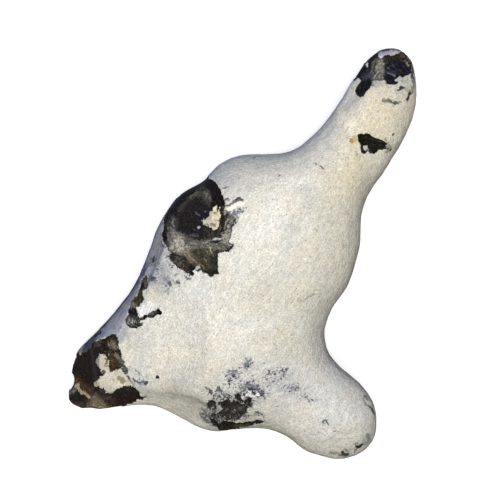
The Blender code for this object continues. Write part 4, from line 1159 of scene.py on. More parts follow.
# A remnant's own colour grows from nothing to full over these mm inside it and above the rim.
REMNANT_EDGE = (-1.0, -0.2)
REMNANT_ABOVE = (-16, -10)


def bare_depth(points):
    """How far inside the bare flint each point is, in plan, less than 0 on the rind."""
    plan = seen_from_above(points)
    under = RIM_HEIGHT - points[:, 2]
    low = below_rim(points)
    x, y, z = points.T
    (slow, wide), (quick, narrow) = LOW_WAVES
    sway = np.sin(slow * z + LOW_BEND * np.sin(x / wide))
    sway += np.sin(quick * z + LOW_BEND * np.cos(y / narrow))
    sway *= LOW_SWAY * eased(low, 0, FULL_SWAY_UNDER)
    depth = np.full(len(points), FAR)
    for wrap, outline in FLINT.values():
        inside = inward(plan, outline) - LOW_TAPER * low / max(wrap, 1)
        depth = np.maximum(depth, np.minimum(inside, wrap - under) + sway)
    inside = inward(points[:, :2], BACK_SCAR)
    return np.maximum(depth, np.minimum(inside, under - BACK_UNDER))


def remnant_depth(points):
    """How far inside a remnant of the rind each point is."""
    plan = wandering(seen_from_above(points))
    depth = np.max([inward(plan, outline) for _, outline in REMNANTS.values()], axis=0)
    return depth - REMNANT_TAPER * below_rim(points, REMNANT_UNDER)


def nearest_line(points, lines):
    """How far inside the nearest drawn line each point is, and that line's colour and strength."""
    plan = wandering(seen_from_above(points))
    depth = np.full(len(points), FAR)
    tone = np.zeros((len(points), 4))
    for code, width, strength, line in lines:
        inside = width / 2 - near_line(plan, line)
        closer = inside > depth
        depth[closer] = inside[closer]
        tone[closer] = (*linear(code), strength)
    return depth - LINE_TAPER * below_rim(points), tone


def laid_over(colour, code, share):
    """Colours with another laid over them by share."""
    share = share[:, None]
    return colour * (1 - share) + np.array(linear(code)) * share


def flint_tones(points):
    """The flint's colour at each point, with the painted sheen of some tones."""
    plan = wandering(seen_from_above(points))
    colour = np.tile(np.array(bpy.context.scene.flint_finish.flint), (len(points), 1))
    for code, soft, outline in FLINT_TONES.values():
        colour = laid_over(colour, code, eased(inward(plan, outline), -soft / 2, soft / 2))
    return np.column_stack([colour, np.ones(len(points))])


def rind_tones(points):
    """The rind's colour at each point, with the painted light and shade of some tones and patches.
    """
    plan = wandering(seen_from_above(points))
    face = on_face(points)
    colour = np.tile(np.array(bpy.context.scene.flint_finish.rind), (len(points), 1))
    for code, *spot, strength in RIND_TONES:
        colour = laid_over(colour, code, strength * face * round_spot(plan, *spot))
    low = PATCH_TAPER * below_rim(points, PATCH_UNDER)
    for code, soft, outline in RIND_PATCHES.values():
        share = eased(inward(plan, outline) - low, -soft / 2, soft / 2 + low)
        colour = laid_over(colour, code, face * share)
    high = eased(points[:, 2] - RIM_HEIGHT, *REMNANT_ABOVE)
    for code, outline in REMNANTS.values():
        colour = laid_over(colour, code, high * eased(inward(plan, outline), *REMNANT_EDGE))
    return np.column_stack([colour, np.ones(len(points))])


def flecks(points):
    """How thickly the rind is flecked with blue-grey at each point."""
    plan = wandering(seen_from_above(points))
    clear = np.ones(len(points))
    for *spot, density in FLECKS:
        clear *= 1 - density * round_spot(plan, *spot)
    return on_face(points) * (1 - clear)


# ---------------------------------------------------------------- the struck stone

# Faces are split in four up to this far, in mm, outside the flint and a mark on the rind, and
# once more this near the edge of the flint or a remnant and outside any mark, down to this far
# under the rim.
SPLIT_ROUND_FLINT = 1.0
SPLIT_ROUND_MARK = 0.8
SPLIT_AT_EDGE = 0.8
SPLIT_AT_MARK = 0.35
SPLIT_UNDER = 6.0

# Flakes struck from the flint: place in plan, way it faces, way it runs, the hollow's radius, how
# much longer it is along its run, and the depth of its bite.
FLAKES = (
    # crest
    ((-27, 20), (-0.52, 0.30, 0.80), (0.6, 1.0, 0.0), 34, 1.2, 1.6),
    ((-12, 28), (0.30, 0.30, 0.90), (0.3, 1.0, 0.0), 26, 1.6, 1.0),
    ((-15, -3), (-0.05, -0.42, 0.90), (1.0, 0.3, 0.0), 30, 1.2, 1.0),
    ((-27, -3), (-0.50, -0.42, 0.76), (0.8, 1.0, 0.0), 26, 1.4, 0.9),
    ((-34, 8), (-0.85, 0.10, 0.55), (0.5, 1.0, 0.0), 26, 1.5, 0.8),
    # broken arm
    ((-83, -56), (-0.80, 0.20, 0.55), (0.1, 1.0, 0.0), 34, 1.6, 1.4),
    ((-66, -46), (0.05, 0.55, 0.83), (1.0, 0.2, 0.0), 34, 1.4, 1.0),
    ((-65, -62), (0.12, -0.05, 1.0), (0.3, 1.0, 0.0), 60, 1.4, 0.8),
    ((-60, -73), (0.05, -0.75, 0.66), (1.0, 0.1, 0.0), 30, 2.2, 1.2),
    ((-82, -72), (-0.50, -0.60, 0.62), (1.0, -0.4, 0.0), 18, 1.5, 1.2),
    # belly
    ((-5, -78), (-0.05, -0.40, 0.92), (1.0, 0.5, 0.0), 30, 1.5, 1.0),
    ((2, -85), (0.10, -0.90, 0.40), (1.0, 0.1, 0.0), 16, 2.5, 0.8),
    # horn: its tip, then the chip in its side
    ((79, 94), (0.30, 0.35, 0.88), (1.0, 0.3, 0.0), 24, 1.3, 1.0),
    ((69, 93), (-0.30, 0.40, 0.88), (0.3, 1.0, 0.0), 26, 1.6, 0.8),
    ((62, 90), (-0.75, 0.35, 0.55), (0.5, 1.0, 0.0), 20, 1.8, 0.9),
    ((66, 56), (0.15, -0.15, 0.97), (1.0, -0.4, 0.0), 26, 1.5, 0.9),
    # back, and two notches in the side of the broken arm
    ((37, 23), (0.42, 0.10, -0.90), (0.3, 1.0, 0.0), 36, 1.2, 1.0),
    ((-85, -64.5), (-0.95, 0.25, 0.15), (0.1, 0.0, 1.0), 5, 3.0, 1.7),
    ((-76, -77), (0.0, -1.0, 0.15), (0.0, 0.1, 1.0), 9, 2.0, 0.5),
)
# A flake bites in full this many mm inside the bare flint, and never deeper than DEEPEST.
FLAKE_EDGE = 1.0
DEEPEST = 6.0
# A flake starts on a point that faces its way by at least this cosine.
FACES_FLAKE = 0.3
# Its ripples spread from this share of the hollow's half length behind its middle.
RIPPLE_START = 0.5
# The depth kept for the drawn marks goes no lower than this, in mm.
OFF_LINE = -5.0


def split(mesh, wanted):
    """Each face whose corners are all wanted, split in four."""
    form = bmesh.new()
    form.from_mesh(mesh)
    form.verts.ensure_lookup_table()
    edges = [e for e in form.edges if wanted[e.verts[0].index] and wanted[e.verts[1].index]]
    bmesh.ops.subdivide_edges(form, edges=edges, cuts=1, use_grid_fill=True)
    bmesh.ops.triangulate(form, faces=[f for f in form.faces if len(f.verts) > 4])
    form.to_mesh(mesh)
    form.free()


def finer_where_drawn(mesh):
    """Small faces on the flint and round the drawn marks, smaller ones at their very edges."""
    points = read_points(mesh)
    on_rind, _ = nearest_line(points, RIND_LINES)
    split(mesh, (bare_depth(points) > -SPLIT_ROUND_FLINT) | (on_rind > -SPLIT_ROUND_MARK))
    points = read_points(mesh)
    on_rind, _ = nearest_line(points, RIND_LINES)
    on_flint, _ = nearest_line(points, FLINT_LINES)
    edges = np.minimum(abs(bare_depth(points)), abs(remnant_depth(points)))
    fine = (edges < SPLIT_AT_EDGE) | (np.maximum(on_rind, on_flint) > -SPLIT_AT_MARK)
    split(mesh, fine & (points[:, 2] > RIM_HEIGHT - SPLIT_UNDER))


def strike(points, normals, bare, flake, ripple_height, ripple_length):
    """The points pushed down to the hollow of one flake, with its ripples."""
    place, facing, run, hollow, stretch, depth = flake
    outward = np.array(facing) / np.linalg.norm(facing)
    across = np.cross(outward, run)
    across /= np.linalg.norm(across)
    along = np.cross(across, outward)
    apart = np.hypot(*(points[:, :2] - place).T)
    apart[normals @ outward < FACES_FLAKE] = np.inf
    centre = points[np.argmin(apart)] + outward * (hollow - depth)
    local = (points - centre) @ np.column_stack([along, across, outward])
    room = hollow**2 - (local[:, 0] / stretch) ** 2 - local[:, 1] ** 2
    floor = -np.sqrt(np.maximum(room, 0))
    bite = np.where((room > 0) & (normals @ outward > 0), local[:, 2] - floor, 0)
    bite = np.clip(bite, 0, DEEPEST)
    start = hollow * stretch * RIPPLE_START
    away = np.hypot(local[:, 0] + start, local[:, 1] * stretch)
    ripple = ripple_height * np.sin(2 * math.pi * away / ripple_length)
    push = bite + ripple * eased(bite, 0, 1)
    return points - outward * (push * eased(bare, 0, FLAKE_EDGE))[:, None]


def struck_mesh(settings):
    """The skin with its flakes struck off, and what the finish needs kept at each point."""
    mesh = fine_skin(settings.skin_step)
    finer_where_drawn(mesh)
    points = read_points(mesh)
    bare = bare_depth(points)
    for flake in FLAKES:
        write_points(mesh, points)
        points = strike(
            points, read_normals(mesh), bare, flake,
            settings.ripple_height / MM, settings.ripple_length / MM,
        )
    write_points(mesh, points)
    remnant = remnant_depth(points)
    on_flint = (bare > 0) & (remnant < 0)
    depth, tone = nearest_line(points, RIND_LINES)
    flint_depth, flint_line = nearest_line(points, FLINT_LINES)
    depth[on_flint] = flint_depth[on_flint]
    tone[on_flint] = flint_line[on_flint]
    kept = {
        "bare": bare, "remnant": remnant, "line": np.maximum(depth, OFF_LINE), "line_tone": tone,
        "flint_tone": flint_tones(points), "rind_tone": rind_tones(points),
        "flecked": flecks(points),
    }
    for name, values in kept.items():
        store(mesh, name, values)
    return mesh


# ---------------------------------------------------------------- the rind's relief

# How far the rind's edge wanders to and fro, and the size of its jags, in mm.
RAGGED = 2.6
JAG_SIZE = 2.6
# Depth inside the open flint, in mm, where the rind's face starts to drop and has dropped.
RIND_STEP = (-0.3, 0.5)
# Places tried for pores on each square metre, before their least distance thins them out.
PORES_PER_M2 = 60000.0
# The relief's inputs, most of which have the names of the stone's settings.
RELIEF_INPUTS = {
    "Geometry": "NodeSocketGeometry", "Rind thickness": "NodeSocketFloat",
    "Lump height": "NodeSocketFloat", "Lump size": "NodeSocketFloat",
    "Pore spacing": "NodeSocketFloat", "Pore radius": "NodeSocketFloat",
    "Pore depth": "NodeSocketFloat", "Seed": "NodeSocketInt", "Material": "NodeSocketMaterial",
}


def open_flint_depth(tree):
    """How far inside the open flint each point is, with a ragged edge."""
    ragged = add_node(
        tree, "ShaderNodeTexNoise",
        {"Scale": 1 / (JAG_SIZE * MM), "Detail": 5.0, "Roughness": 0.75},
    )
    middle = add_node(tree, "ShaderNodeMath", {0: ragged, 1: 0.5}, operation="SUBTRACT")
    wander = add_node(tree, "ShaderNodeMath", {0: middle, 1: RAGGED}, operation="MULTIPLY")
    edge = {}
    for name in ("bare", "remnant"):
        depth = add_node(
            tree, "GeometryNodeInputNamedAttribute", {"Name": name}, data_type="FLOAT"
        )
        edge[name] = add_node(tree, "ShaderNodeMath", {0: depth, 1: wander}, operation="ADD")
    clear = add_node(tree, "ShaderNodeMath", {0: edge["remnant"], 1: -1.0}, operation="MULTIPLY")
    return add_node(tree, "ShaderNodeMath", {0: edge["bare"], 1: clear}, operation="MINIMUM")


def pore_dents(tree, given):
    """The depth of the round dents about many strewn points."""
    pores = add_node(
        tree, "GeometryNodeDistributePointsOnFaces",
        {"Mesh": given["Geometry"], "Distance Min": given["Pore spacing"],
         "Density Max": PORES_PER_M2, "Seed": given["Seed"]},
        distribute_method="POISSON",
    )
    away = add_node(tree, "GeometryNodeProximity", {0: pores}, target_element="POINTS")
    return add_node(
        tree, "ShaderNodeMapRange",
        {"Value": away.outputs["Distance"], "From Min": 0.0, "From Max": given["Pore radius"],
         "To Min": given["Pore depth"], "To Max": 0.0},
        interpolation_type="SMOOTHSTEP",
    )


def relief_tree():
    """Geometry Nodes that give the rind its lumps and pores and set the flint back under it."""
    tree = bpy.data.node_groups.new("rind_relief", "GeometryNodeTree")
    for name, kind in RELIEF_INPUTS.items():
        tree.interface.new_socket(name=name, in_out="INPUT", socket_type=kind)
    tree.interface.new_socket(name="Geometry", in_out="OUTPUT", socket_type="NodeSocketGeometry")
    node = functools.partial(add_node, tree)
    given = node("NodeGroupInput").outputs
    open_flint = open_flint_depth(tree)
    is_flint = node(
        "ShaderNodeMapRange",
        {"Value": open_flint, "From Min": RIND_STEP[0], "From Max": RIND_STEP[1]},
        interpolation_type="SMOOTHSTEP",
    )
    frequency = node("ShaderNodeMath", {0: 1.0, 1: given["Lump size"]}, operation="DIVIDE")
    lumps = node("ShaderNodeTexNoise", {"Scale": frequency, "Detail": 3.0, "Roughness": 0.55})
    middle = node("ShaderNodeMath", {0: lumps, 1: 0.5}, operation="SUBTRACT")
    swell = node("ShaderNodeMath", {0: middle, 1: given["Lump height"]}, operation="MULTIPLY")
    rise = node("ShaderNodeMath", {0: swell, 1: pore_dents(tree, given)}, operation="SUBTRACT")
    drop = node("ShaderNodeMath", {0: given["Rind thickness"], 1: -1.0}, operation="MULTIPLY")
    lift = node("ShaderNodeMix", {"Factor": is_flint, "A": rise, "B": drop})
    normal = node("GeometryNodeInputNormal")
    offset = node("ShaderNodeVectorMath", {0: normal, "Scale": lift}, operation="SCALE")
    kept = node(
        "GeometryNodeStoreNamedAttribute",
        {"Geometry": given["Geometry"], "Name": "open_flint", "Value": open_flint},
        data_type="FLOAT", domain="POINT",
    )
    moved = node("GeometryNodeSetPosition", {"Geometry": kept, "Offset": offset})
    smooth = node("GeometryNodeSetShadeSmooth", {"Geometry": moved})
    real = node("GeometryNodeRealizeInstances", {"Geometry": smooth})
    done = node("GeometryNodeSetMaterial", {"Geometry": real, "Material": given["Material"]})
    node("NodeGroupOutput", {"Geometry": done})
    return tree


# ---------------------------------------------------------------- the finish

# Every noise of the finish: size of its lumps in mm, detail, roughness, distortion. Real chalk
# grains and frosting are finer than a tenth of a millimetre, and drawn as coarse as they show.
NOISE = {
    "drift": (15, 3.0, 0.55, 0.0),
    "warmth": (9, 2.0, 0.5, 0.0),
    "lumps": (2.8, 3.0, 0.6, 0.0),
    "specks": (1.2, 5.0, 0.78, 0.3),
    "drag": (1.1, 3.0, 0.6, 0.3),
    "crumbs": (0.9, 5.0, 0.78, 0.0),
    "grain": (0.75, 3.0, 0.65, 0.0),
    "fine grain": (0.42, 2.0, 0.6, 0.0),
    "swell": (3.0, 2.0, 0.4, 0.0),
    "streaks": (1.3, 4.0, 0.65, 0.5),
    "cracks": (0.7, 4.0, 0.7, 0.6),
    "fray": (0.7, 4.0, 0.75, 0.0),
    "frost": (0.55, 3.0, 0.7, 0.0),
    "scratches": (0.5, 3.0, 0.65, 0.4),
}
# Noises that aren't laid straight: shift in metres, turn in degrees, stretch along the turn. The
# drag runs along the horn, and the scratches across the broken arm.
LAID = {
    "warmth": ((-0.3, -0.1, -0.2), 0, 1),
    "drag": ((0, 0, 0), 58, 6),
    "scratches": ((0, 0, 0), -35, 4.5),
}
# How each noise shades its ground: its value where it starts and ends, the least and most light.
CHALK_SHADES = (
    ("drift", 0.3, 0.7, 0.95, 1.03),
    ("lumps", 0.25, 0.75, 0.88, 1.08),
    ("grain", 0.3, 0.7, 0.76, 1.16),
    ("drag", 0.28, 0.72, 0.88, 1.08),
    ("fine grain", 0.3, 0.7, 0.84, 1.12),
)
FLINT_SHADES = (
    ("streaks", 0.36, 0.64, 0.5, 1.5),
    ("frost", 0.38, 0.62, 0.8, 1.2),
    ("scratches", 0.38, 0.62, 0.7, 1.36),
)
# Colours that noises lay on: the noise's value where it starts and is full, strength, colour. A
# strength of None is the flint's own frosting, which is stronger where the flint is paler.
CHALK_COATS = (
    ("warmth", 0.48, 0.66, 0.12, "#e9d6b0"),
    ("warmth", 0.48, 0.34, 0.12, "#cdd3d6"),
    ("specks", 0.60, 0.69, 0.55, "#a6a9b0"),
    ("specks", 0.705, 0.74, 0.95, "#33363f"),
)
FLINT_COATS = (
    ("frost", 0.53, 0.61, None, "#c9c3b2"),
    ("cracks", 0.47, 0.40, None, "#1d1a18"),
    ("scratches", 0.60, 0.68, 0.25, "#8f8a80"),
)
# Round dots strewn on the chalk: spacing and radius in mm, share of the places that have one,
# strength, colour.
DOTS = {
    "pepper": (2.3, 0.36, 0.22, 0.6, "#6d6354"),
    "pits": (1.5, 0.34, 0.45, 0.22, "#8f897b"),
    "rust": (3.7, 0.6, 0.13, 0.5, "#c9a878"),
}
# A dot is full inside the first of these shares of its radius and gone past the second.
DOT_EDGE = (0.5, 1.3)
# A dot is faint in this last share of the places that have one.
DOT_FAINT = 0.02
# Fine relief: how high each field stands, in mm.
CHALK_RELIEF = {"grain": 0.34, "lumps": 0.60, "drag": 0.26, "pits": -0.12, "pepper": -0.12}
FLINT_RELIEF = {"swell": 0.12, "frost": 0.03}
# How far the rind's edge crumbles to and fro in mm, clean and where it is thickly flecked, how
# thick that is, and the depths where the flint starts to show and shows in full.
CRUMBS = 2.0
FRAYED = 6.0
THICKLY = 0.9
CRUMB_EDGE = (-0.12, 0.12)
# How much the flecks raise the noise of the specks.
MORE_SPECKS = 0.27
# How far a drawn mark's edge frays to and fro in mm, and the depths where it starts and is full.
LINE_FRAY = 1.2
LINE_EDGE = (-0.22, 0.06)
# The flint's frosting and roughness, each from a dark to a pale brightness of its own colour.
FROSTING = {"From Min": 0.015, "From Max": 0.2, "To Min": 0.03, "To Max": 0.8}
DULLING = {"From Min": 0.01, "From Max": 0.18, "To Min": 0.16, "To Max": 0.66}
CHALK_ROUGHNESS = 0.88
QUARTZ_IOR = 1.54
# The places of the lower and the upper colour among a Mix node's inputs.
UNDER = 6
OVER = 7


def noise_fields(tree, place):
    """Every noise of the finish, by its name."""
    fields = {}
    for name, (size, detail, roughness, distortion) in NOISE.items():
        where = place
        if name in LAID:
            shift, turn, stretch = LAID[name]
            where = add_node(
                tree, "ShaderNodeMapping",
                {"Vector": place, "Location": shift, "Rotation": (0, 0, math.radians(turn)),
                 "Scale": (stretch, 1, 1)},
                vector_type="TEXTURE",
            )
        fields[name] = add_node(
            tree, "ShaderNodeTexNoise",
            {"Vector": where, "Scale": 1 / (size * MM), "Detail": detail,
             "Roughness": roughness, "Distortion": distortion},
        )
    return fields


def shaded(tree, colour, fields, shades):
    """A colour made lighter and darker by each field in turn."""
    for name, start, end, least, most in shades:
        light = add_node(
            tree, "ShaderNodeMapRange",
            {"Value": fields[name], "From Min": start, "From Max": end, "To Min": least,
             "To Max": most},
            interpolation_type="SMOOTHSTEP",
        )
        colour = add_node(
            tree, "ShaderNodeVectorMath", {0: colour, "Scale": light}, operation="SCALE"
        )
    return colour


def coated(tree, colour, fields, coats, frosting=None):
    """A colour with others laid over it where the fields are strong."""
    for name, start, full, strength, code in coats:
        share = add_node(
            tree, "ShaderNodeMapRange",
            {"Value": fields[name], "From Min": start, "From Max": full,
             "To Max": frosting if strength is None else strength},
            interpolation_type="SMOOTHSTEP",
        )
        colour = add_node(
            tree, "ShaderNodeMix", {0: share, UNDER: colour, OVER: (*linear(code), 1)},
            data_type="RGBA",
        )
    return colour


def strewn_dots(tree, place, spacing, radius, share):
    """1 inside round dots, which a share of the evenly strewn places have, and 0 outside."""
    cells = add_node(
        tree, "ShaderNodeTexVoronoi", {"Vector": place, "Scale": 1 / (spacing * MM)}
    ).outputs
    picked = add_node(tree, "ShaderNodeSeparateColor", {0: cells["Color"]})
    chosen = add_node(
        tree, "ShaderNodeMapRange",
        {"Value": picked, "From Min": 1 - share, "From Max": 1 - share + DOT_FAINT},
        interpolation_type="SMOOTHSTEP",
    )
    full, gone = (edge * radius / spacing for edge in DOT_EDGE)
    return add_node(
        tree, "ShaderNodeMapRange",
        {"Value": cells["Distance"], "From Min": full, "From Max": gone, "To Min": chosen,
         "To Max": 0.0},
        interpolation_type="SMOOTHSTEP",
    )


def frayed(tree, depth, field, sway, edge):
    """1 where a depth is past its edge, once a field has swayed it to and fro."""
    middle = add_node(tree, "ShaderNodeMath", {0: field, 1: 0.5}, operation="SUBTRACT")
    moved = add_node(
        tree, "ShaderNodeMath", {0: middle, 1: sway, 2: depth}, operation="MULTIPLY_ADD"
    )
    return add_node(
        tree, "ShaderNodeMapRange", {"Value": moved, "From Min": edge[0], "From Max": edge[1]},
        interpolation_type="SMOOTHSTEP",
    )


def summed(tree, fields, heights):
    """The height that the fields add up to."""
    total = 0.0
    for name, height in heights.items():
        total = add_node(
            tree, "ShaderNodeMath", {0: fields[name], 1: height, 2: total},
            operation="MULTIPLY_ADD",
        )
    return total


def chalk_and_flint():
    """Weathered chalk cortex over nodular flint: dry, matt and porous outside, glass within."""
    material = bpy.data.materials.new("chalk_and_flint")
    material.use_nodes = True
    tree = material.node_tree
    node = functools.partial(add_node, tree)
    place = node("ShaderNodeTexCoord").outputs["Object"]
    fields = noise_fields(tree, place)
    kept = {
        name: node("ShaderNodeAttribute", attribute_name=name).outputs
        for name in ("open_flint", "flecked", "rind_tone", "flint_tone", "line", "line_tone")
    }

    # Where the flint is open: the chalk breaks into crumbs at its edge, more so where it is thin.
    crumbling = node(
        "ShaderNodeMapRange",
        {"Value": kept["flecked"]["Fac"], "From Max": THICKLY, "To Min": CRUMBS,
         "To Max": FRAYED},
        interpolation_type="SMOOTHSTEP",
    )
    is_flint = frayed(
        tree, kept["open_flint"]["Fac"], fields["crumbs"], crumbling, CRUMB_EDGE
    )

    # Chalk: warm and cool drifts, a drag along the horn, grain, blue-grey specks and dots.
    fields["specks"] = node(
        "ShaderNodeMath", {0: kept["flecked"]["Fac"], 1: MORE_SPECKS, 2: fields["specks"]},
        operation="MULTIPLY_ADD",
    )
    chalk = shaded(tree, kept["rind_tone"]["Color"], fields, CHALK_SHADES)
    chalk = coated(tree, chalk, fields, CHALK_COATS)
    for name, (spacing, radius, share, strength, code) in DOTS.items():
        fields[name] = strewn_dots(tree, place, spacing, radius, share)
        worn = node("ShaderNodeMath", {0: fields[name], 1: strength}, operation="MULTIPLY")
        chalk = node(
            "ShaderNodeMix", {0: worn, UNDER: chalk, OVER: (*linear(code), 1)}, data_type="RGBA"
        )

    # Flint: streaked and scratched, frosted with white and duller where it is paler.
    own = kept["flint_tone"]["Color"]
    pale = node("ShaderNodeRGBToBW", {0: own})
    frosting, dull = (
        node("ShaderNodeMapRange", {"Value": pale, **reach}, interpolation_type="SMOOTHSTEP")
        for reach in (FROSTING, DULLING)
    )
    flint = shaded(tree, own, fields, FLINT_SHADES)
    flint = coated(tree, flint, fields, FLINT_COATS, frosting)

    # Stains, cracks, painted highlights and painted shadows drawn on both, with frayed edges.
    on_line = frayed(tree, kept["line"]["Fac"], fields["fray"], LINE_FRAY, LINE_EDGE)
    drawn = node(
        "ShaderNodeMath", {0: on_line, 1: kept["line_tone"]["Alpha"]}, operation="MULTIPLY"
    )
    ground = node("ShaderNodeMix", {0: is_flint, UNDER: chalk, OVER: flint}, data_type="RGBA")
    colour = node(
        "ShaderNodeMix", {0: drawn, UNDER: ground, OVER: kept["line_tone"]["Color"]},
        data_type="RGBA",
    )

    # Matt chalk, glassy flint, and the fine relief of each.
    roughness = node("ShaderNodeMix", {"Factor": is_flint, "A": CHALK_ROUGHNESS, "B": dull})
    relief = node(
        "ShaderNodeMix",
        {"Factor": is_flint, "A": summed(tree, fields, CHALK_RELIEF),
         "B": summed(tree, fields, FLINT_RELIEF)},
    )
    bump = node("ShaderNodeBump", {"Strength": 1.0, "Distance": MM, "Height": relief})
    feed(
        tree, tree.nodes["Principled BSDF"],
        {"Base Color": colour, "Roughness": roughness, "IOR": QUARTZ_IOR, "Normal": bump},
    )
    return material


# ---------------------------------------------------------------- settings

length = functools.partial(FloatProperty, precision=5, subtype="DISTANCE", unit="LENGTH")
tint = functools.partial(FloatVectorProperty, subtype="COLOR", size=3, min=0, max=1)
power = functools.partial(FloatProperty, unit="POWER", min=0)


class FlintStoneSettings(bpy.types.PropertyGroup):
    """Sizes of the stone's skin, scars and pores."""

    skin_step: length(
        name="Skin step", description="Spacing of the skin's points on the rind",
        default=1.38 * MM, min=0.7 * MM, max=3 * MM,
    )
    rind_thickness: length(
        name="Rind thickness", description="How far bare flint lies below the rind's face",
        default=0.45 * MM,
    )
    ripple_height: length(
        name="Ripple height", description="Height of the ripples in a flake scar",
        default=0.10 * MM,
    )
    ripple_length: length(
        name="Ripple length", description="Distance from one ripple to the next",
        default=4.5 * MM,
    )
    lump_height: length(
        name="Lump height", description="Height of the rind's low lumps", default=0.9 * MM,
    )
    lump_size: length(
        name="Lump size", description="Width of the rind's low lumps", default=9.0 * MM,
    )
    pore_spacing: length(
        name="Pore spacing", description="Least distance between two pores", default=7.0 * MM,
    )
    pore_radius: length(
        name="Pore radius", description="Radius of a pore's dent", default=1.6 * MM,
    )
    pore_depth: length(
        name="Pore depth", description="Depth of a pore's dent", default=0.18 * MM,
    )
    seed: IntProperty(name="Seed", description="Where the pores fall", default=7, min=0)


class FlintFinishSettings(bpy.types.PropertyGroup):
    """Colours of the stone."""

    rind: tint(name="Rind", description="Clean chalk rind", default=linear("#e5e2d5"))
    flint: tint(name="Flint", description="Fresh dark flint", default=linear("#1d1917"))


class FlintStudioSettings(bpy.types.PropertyGroup):
    """The studio that the stone is seen in."""

    floor: tint(name="Floor", description="Colour of the floor", default=linear("#f6f6f6"))
    floor_glow: FloatProperty(
        name="Floor glow", description="Light that the floor gives of itself", default=0.4, min=0,
    )
    camera_height: length(
        name="Camera height", description="Camera's distance from the rim's plane",
        default=EYE_ABOVE_RIM * MM,
    )
    view_width: length(
        name="View width", description="Width of the view on the rim's plane", default=0.25,
    )
    key_power: power(name="Key light", description="Power of the light overhead", default=38.0)
    sky_power: power(
        name="Sky light", description="Power of the cool light from the horn's side", default=9.0,
    )
    window_power: power(
        name="Window light", description="Power of the light that glints on the flint",
        default=1.5,
    )


# ---------------------------------------------------------------- the stone and the studio

# How far inside the frame's bounds the stone ends, in mm.
CLEAR = 0.001


def kept_in_box(mesh):
    """No point outside the frame's bounds, and so none under the floor."""
    low, high = (np.array(corner) / MM for corner in CAD_BOX)
    write_points(mesh, np.clip(read_points(mesh), low + CLEAR, high - CLEAR))


class FLINT_OT_stone(bpy.types.Operator):
    """Build the flint nodule with its scars, rind and pores"""

    bl_idname = "flint.stone"
    bl_label = "Flint nodule"

    def execute(self, context):
        settings = context.scene.flint_stone
        stone = bpy.data.objects.new("flint_nodule_stone", struck_mesh(settings))
        context.collection.objects.link(stone)
        tree = relief_tree()
        relief = stone.modifiers.new("relief", "NODES")
        relief.node_group = tree
        values = {"Material": chalk_and_flint()}
        for item in settings.bl_rna.properties:
            values[item.name] = getattr(settings, item.identifier)
        for item in tree.interface.items_tree:
            if item.in_out == "INPUT" and item.name in values:
                relief[item.identifier] = values[item.name]
        mesh = new_mesh(stone)
        stone.modifiers.clear()
        stone.data = mesh
        kept_in_box(mesh)
        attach(stone, "root")
        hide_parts(NODE)
        return {"FINISHED"}


# Half the floor's width, and how far the camera sees, in metres.
FLOOR_HALF = 3.0
CAMERA_REACH = 20.0
FLOOR_ROUGHNESS = 0.9
# Lamps: place and size in metres, colour, whether the flint mirrors it.
LAMPS = {
    "key": ((0.05, -0.05, 1.9), 0.9, "#fffdf8", False),
    "sky": ((-1.2, 1.3, 0.6), 1.2, "#9fb6ff", False),
    "window": ((0.6, -1.2, 1.6), 0.6, "#fff2e0", True),
}
# Light from all round, and the brightness of the wall behind the stone.
AIR = "#c9d4ea"
AIR_STRENGTH = 0.10
WALL_STRENGTH = 0.9


def lay_floor(settings):
    """A white floor that gives a little light of its own, so that it stays near white."""
    mesh = bpy.data.meshes.new("floor")
    half = FLOOR_HALF
    corners = [(-half, -half, 0), (half, -half, 0), (half, half, 0), (-half, half, 0)]
    mesh.from_pydata(corners, [], [(0, 1, 2, 3)])
    floor = bpy.data.objects.new("floor", mesh)
    bpy.context.collection.objects.link(floor)
    # Lit white acrylic: an even white sheet with no gloss.
    paint = bpy.data.materials.new("lit_white_acrylic")
    paint.use_nodes = True
    feed(
        paint.node_tree, paint.node_tree.nodes["Principled BSDF"],
        {"Base Color": (*settings.floor, 1), "Roughness": FLOOR_ROUGHNESS,
         "Emission Color": (1, 1, 1, 1), "Emission Strength": settings.floor_glow},
    )
    mesh.materials.append(paint)
    floor.visible_diffuse = False
    floor.visible_glossy = False


def hang_lamps(settings):
    """Soft square lamps, each turned to the middle of the stone."""
    for name, (place, size, code, mirrored) in LAMPS.items():
        data = bpy.data.lights.new(name, "AREA")
        data.shape = "SQUARE"
        data.size = size
        data.energy = getattr(settings, name + "_power")
        data.color = linear(code)
        lamp = bpy.data.objects.new(name, data)
        bpy.context.collection.objects.link(lamp)
        lamp.location = place
        lamp.rotation_euler = (-lamp.location).to_track_quat("-Z", "Y").to_euler()
        lamp.visible_glossy = mirrored


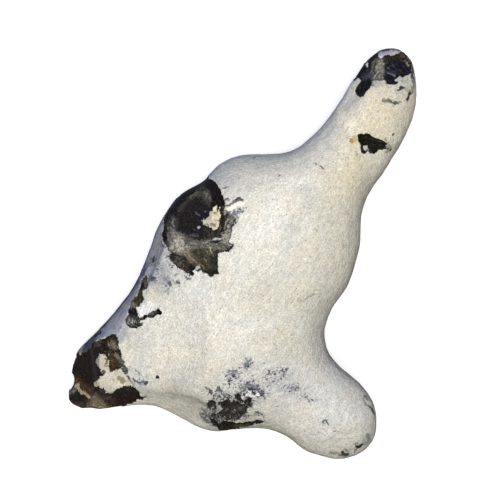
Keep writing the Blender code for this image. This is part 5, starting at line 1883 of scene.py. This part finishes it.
def paint_world(settings):
    """Faint cool light from all round, and a pale wall where the camera sees past the floor."""
    world = bpy.data.worlds.new("studio")
    world.use_nodes = True
    tree = world.node_tree
    air = tree.nodes["Background"]
    feed(tree, air, {"Color": (*linear(AIR), 1), "Strength": AIR_STRENGTH})
    wall = add_node(
        tree, "ShaderNodeBackground", {"Color": (*settings.floor, 1), "Strength": WALL_STRENGTH}
    )
    seen = add_node(tree, "ShaderNodeLightPath").outputs["Is Camera Ray"]
    chosen = add_node(tree, "ShaderNodeMixShader", {0: seen, 1: air, 2: wall})
    feed(tree, tree.nodes["World Output"], {"Surface": chosen})
    bpy.context.scene.world = world


def stand_camera(settings):
    """The camera straight above the stone, looking down."""
    lens = bpy.data.cameras.new("camera")
    lens.lens = lens.sensor_width * settings.camera_height / settings.view_width
    lens.clip_end = CAMERA_REACH
    camera = bpy.data.objects.new("camera", lens)
    bpy.context.collection.objects.link(camera)
    camera.location = (EYE[0] * MM, EYE[1] * MM, RIM_HEIGHT * MM + settings.camera_height)
    bpy.context.scene.camera = camera


class FLINT_OT_studio(bpy.types.Operator):
    """Build the floor, the lights and the camera"""

    bl_idname = "flint.studio"
    bl_label = "Studio"

    def execute(self, context):
        for build in (lay_floor, hang_lamps, paint_world, stand_camera):
            build(context.scene.flint_studio)
        context.scene.view_settings.view_transform = "Standard"
        return {"FINISHED"}


class FLINT_PT_sidebar(bpy.types.Panel):
    """The stone's and the studio's settings and buttons"""

    bl_label = "Flint nodule"
    bl_space_type = "VIEW_3D"
    bl_region_type = "UI"
    bl_category = "Flint"

    def draw(self, context):
        scene = context.scene
        for group, operator in (
            (scene.flint_stone, "flint.stone"), (scene.flint_finish, None),
            (scene.flint_studio, "flint.studio"),
        ):
            box = self.layout.box()
            for name in group.bl_rna.properties.keys():
                if name not in ("name", "rna_type"):
                    box.prop(group, name)
            if operator:
                box.operator(operator)


SETTINGS = {
    "flint_stone": FlintStoneSettings, "flint_finish": FlintFinishSettings,
    "flint_studio": FlintStudioSettings,
}
CLASSES = (*SETTINGS.values(), FLINT_OT_stone, FLINT_OT_studio, FLINT_PT_sidebar)


def register():
    for item in CLASSES:
        bpy.utils.register_class(item)
    for name, group in SETTINGS.items():
        setattr(bpy.types.Scene, name, PointerProperty(type=group))


def unregister():
    for name in SETTINGS:
        delattr(bpy.types.Scene, name)
    for item in reversed(CLASSES):
        bpy.utils.unregister_class(item)


def main():
    register()
    bpy.ops.flint.stone()
    bpy.ops.flint.studio()


if __name__ == "__main__":
    main()
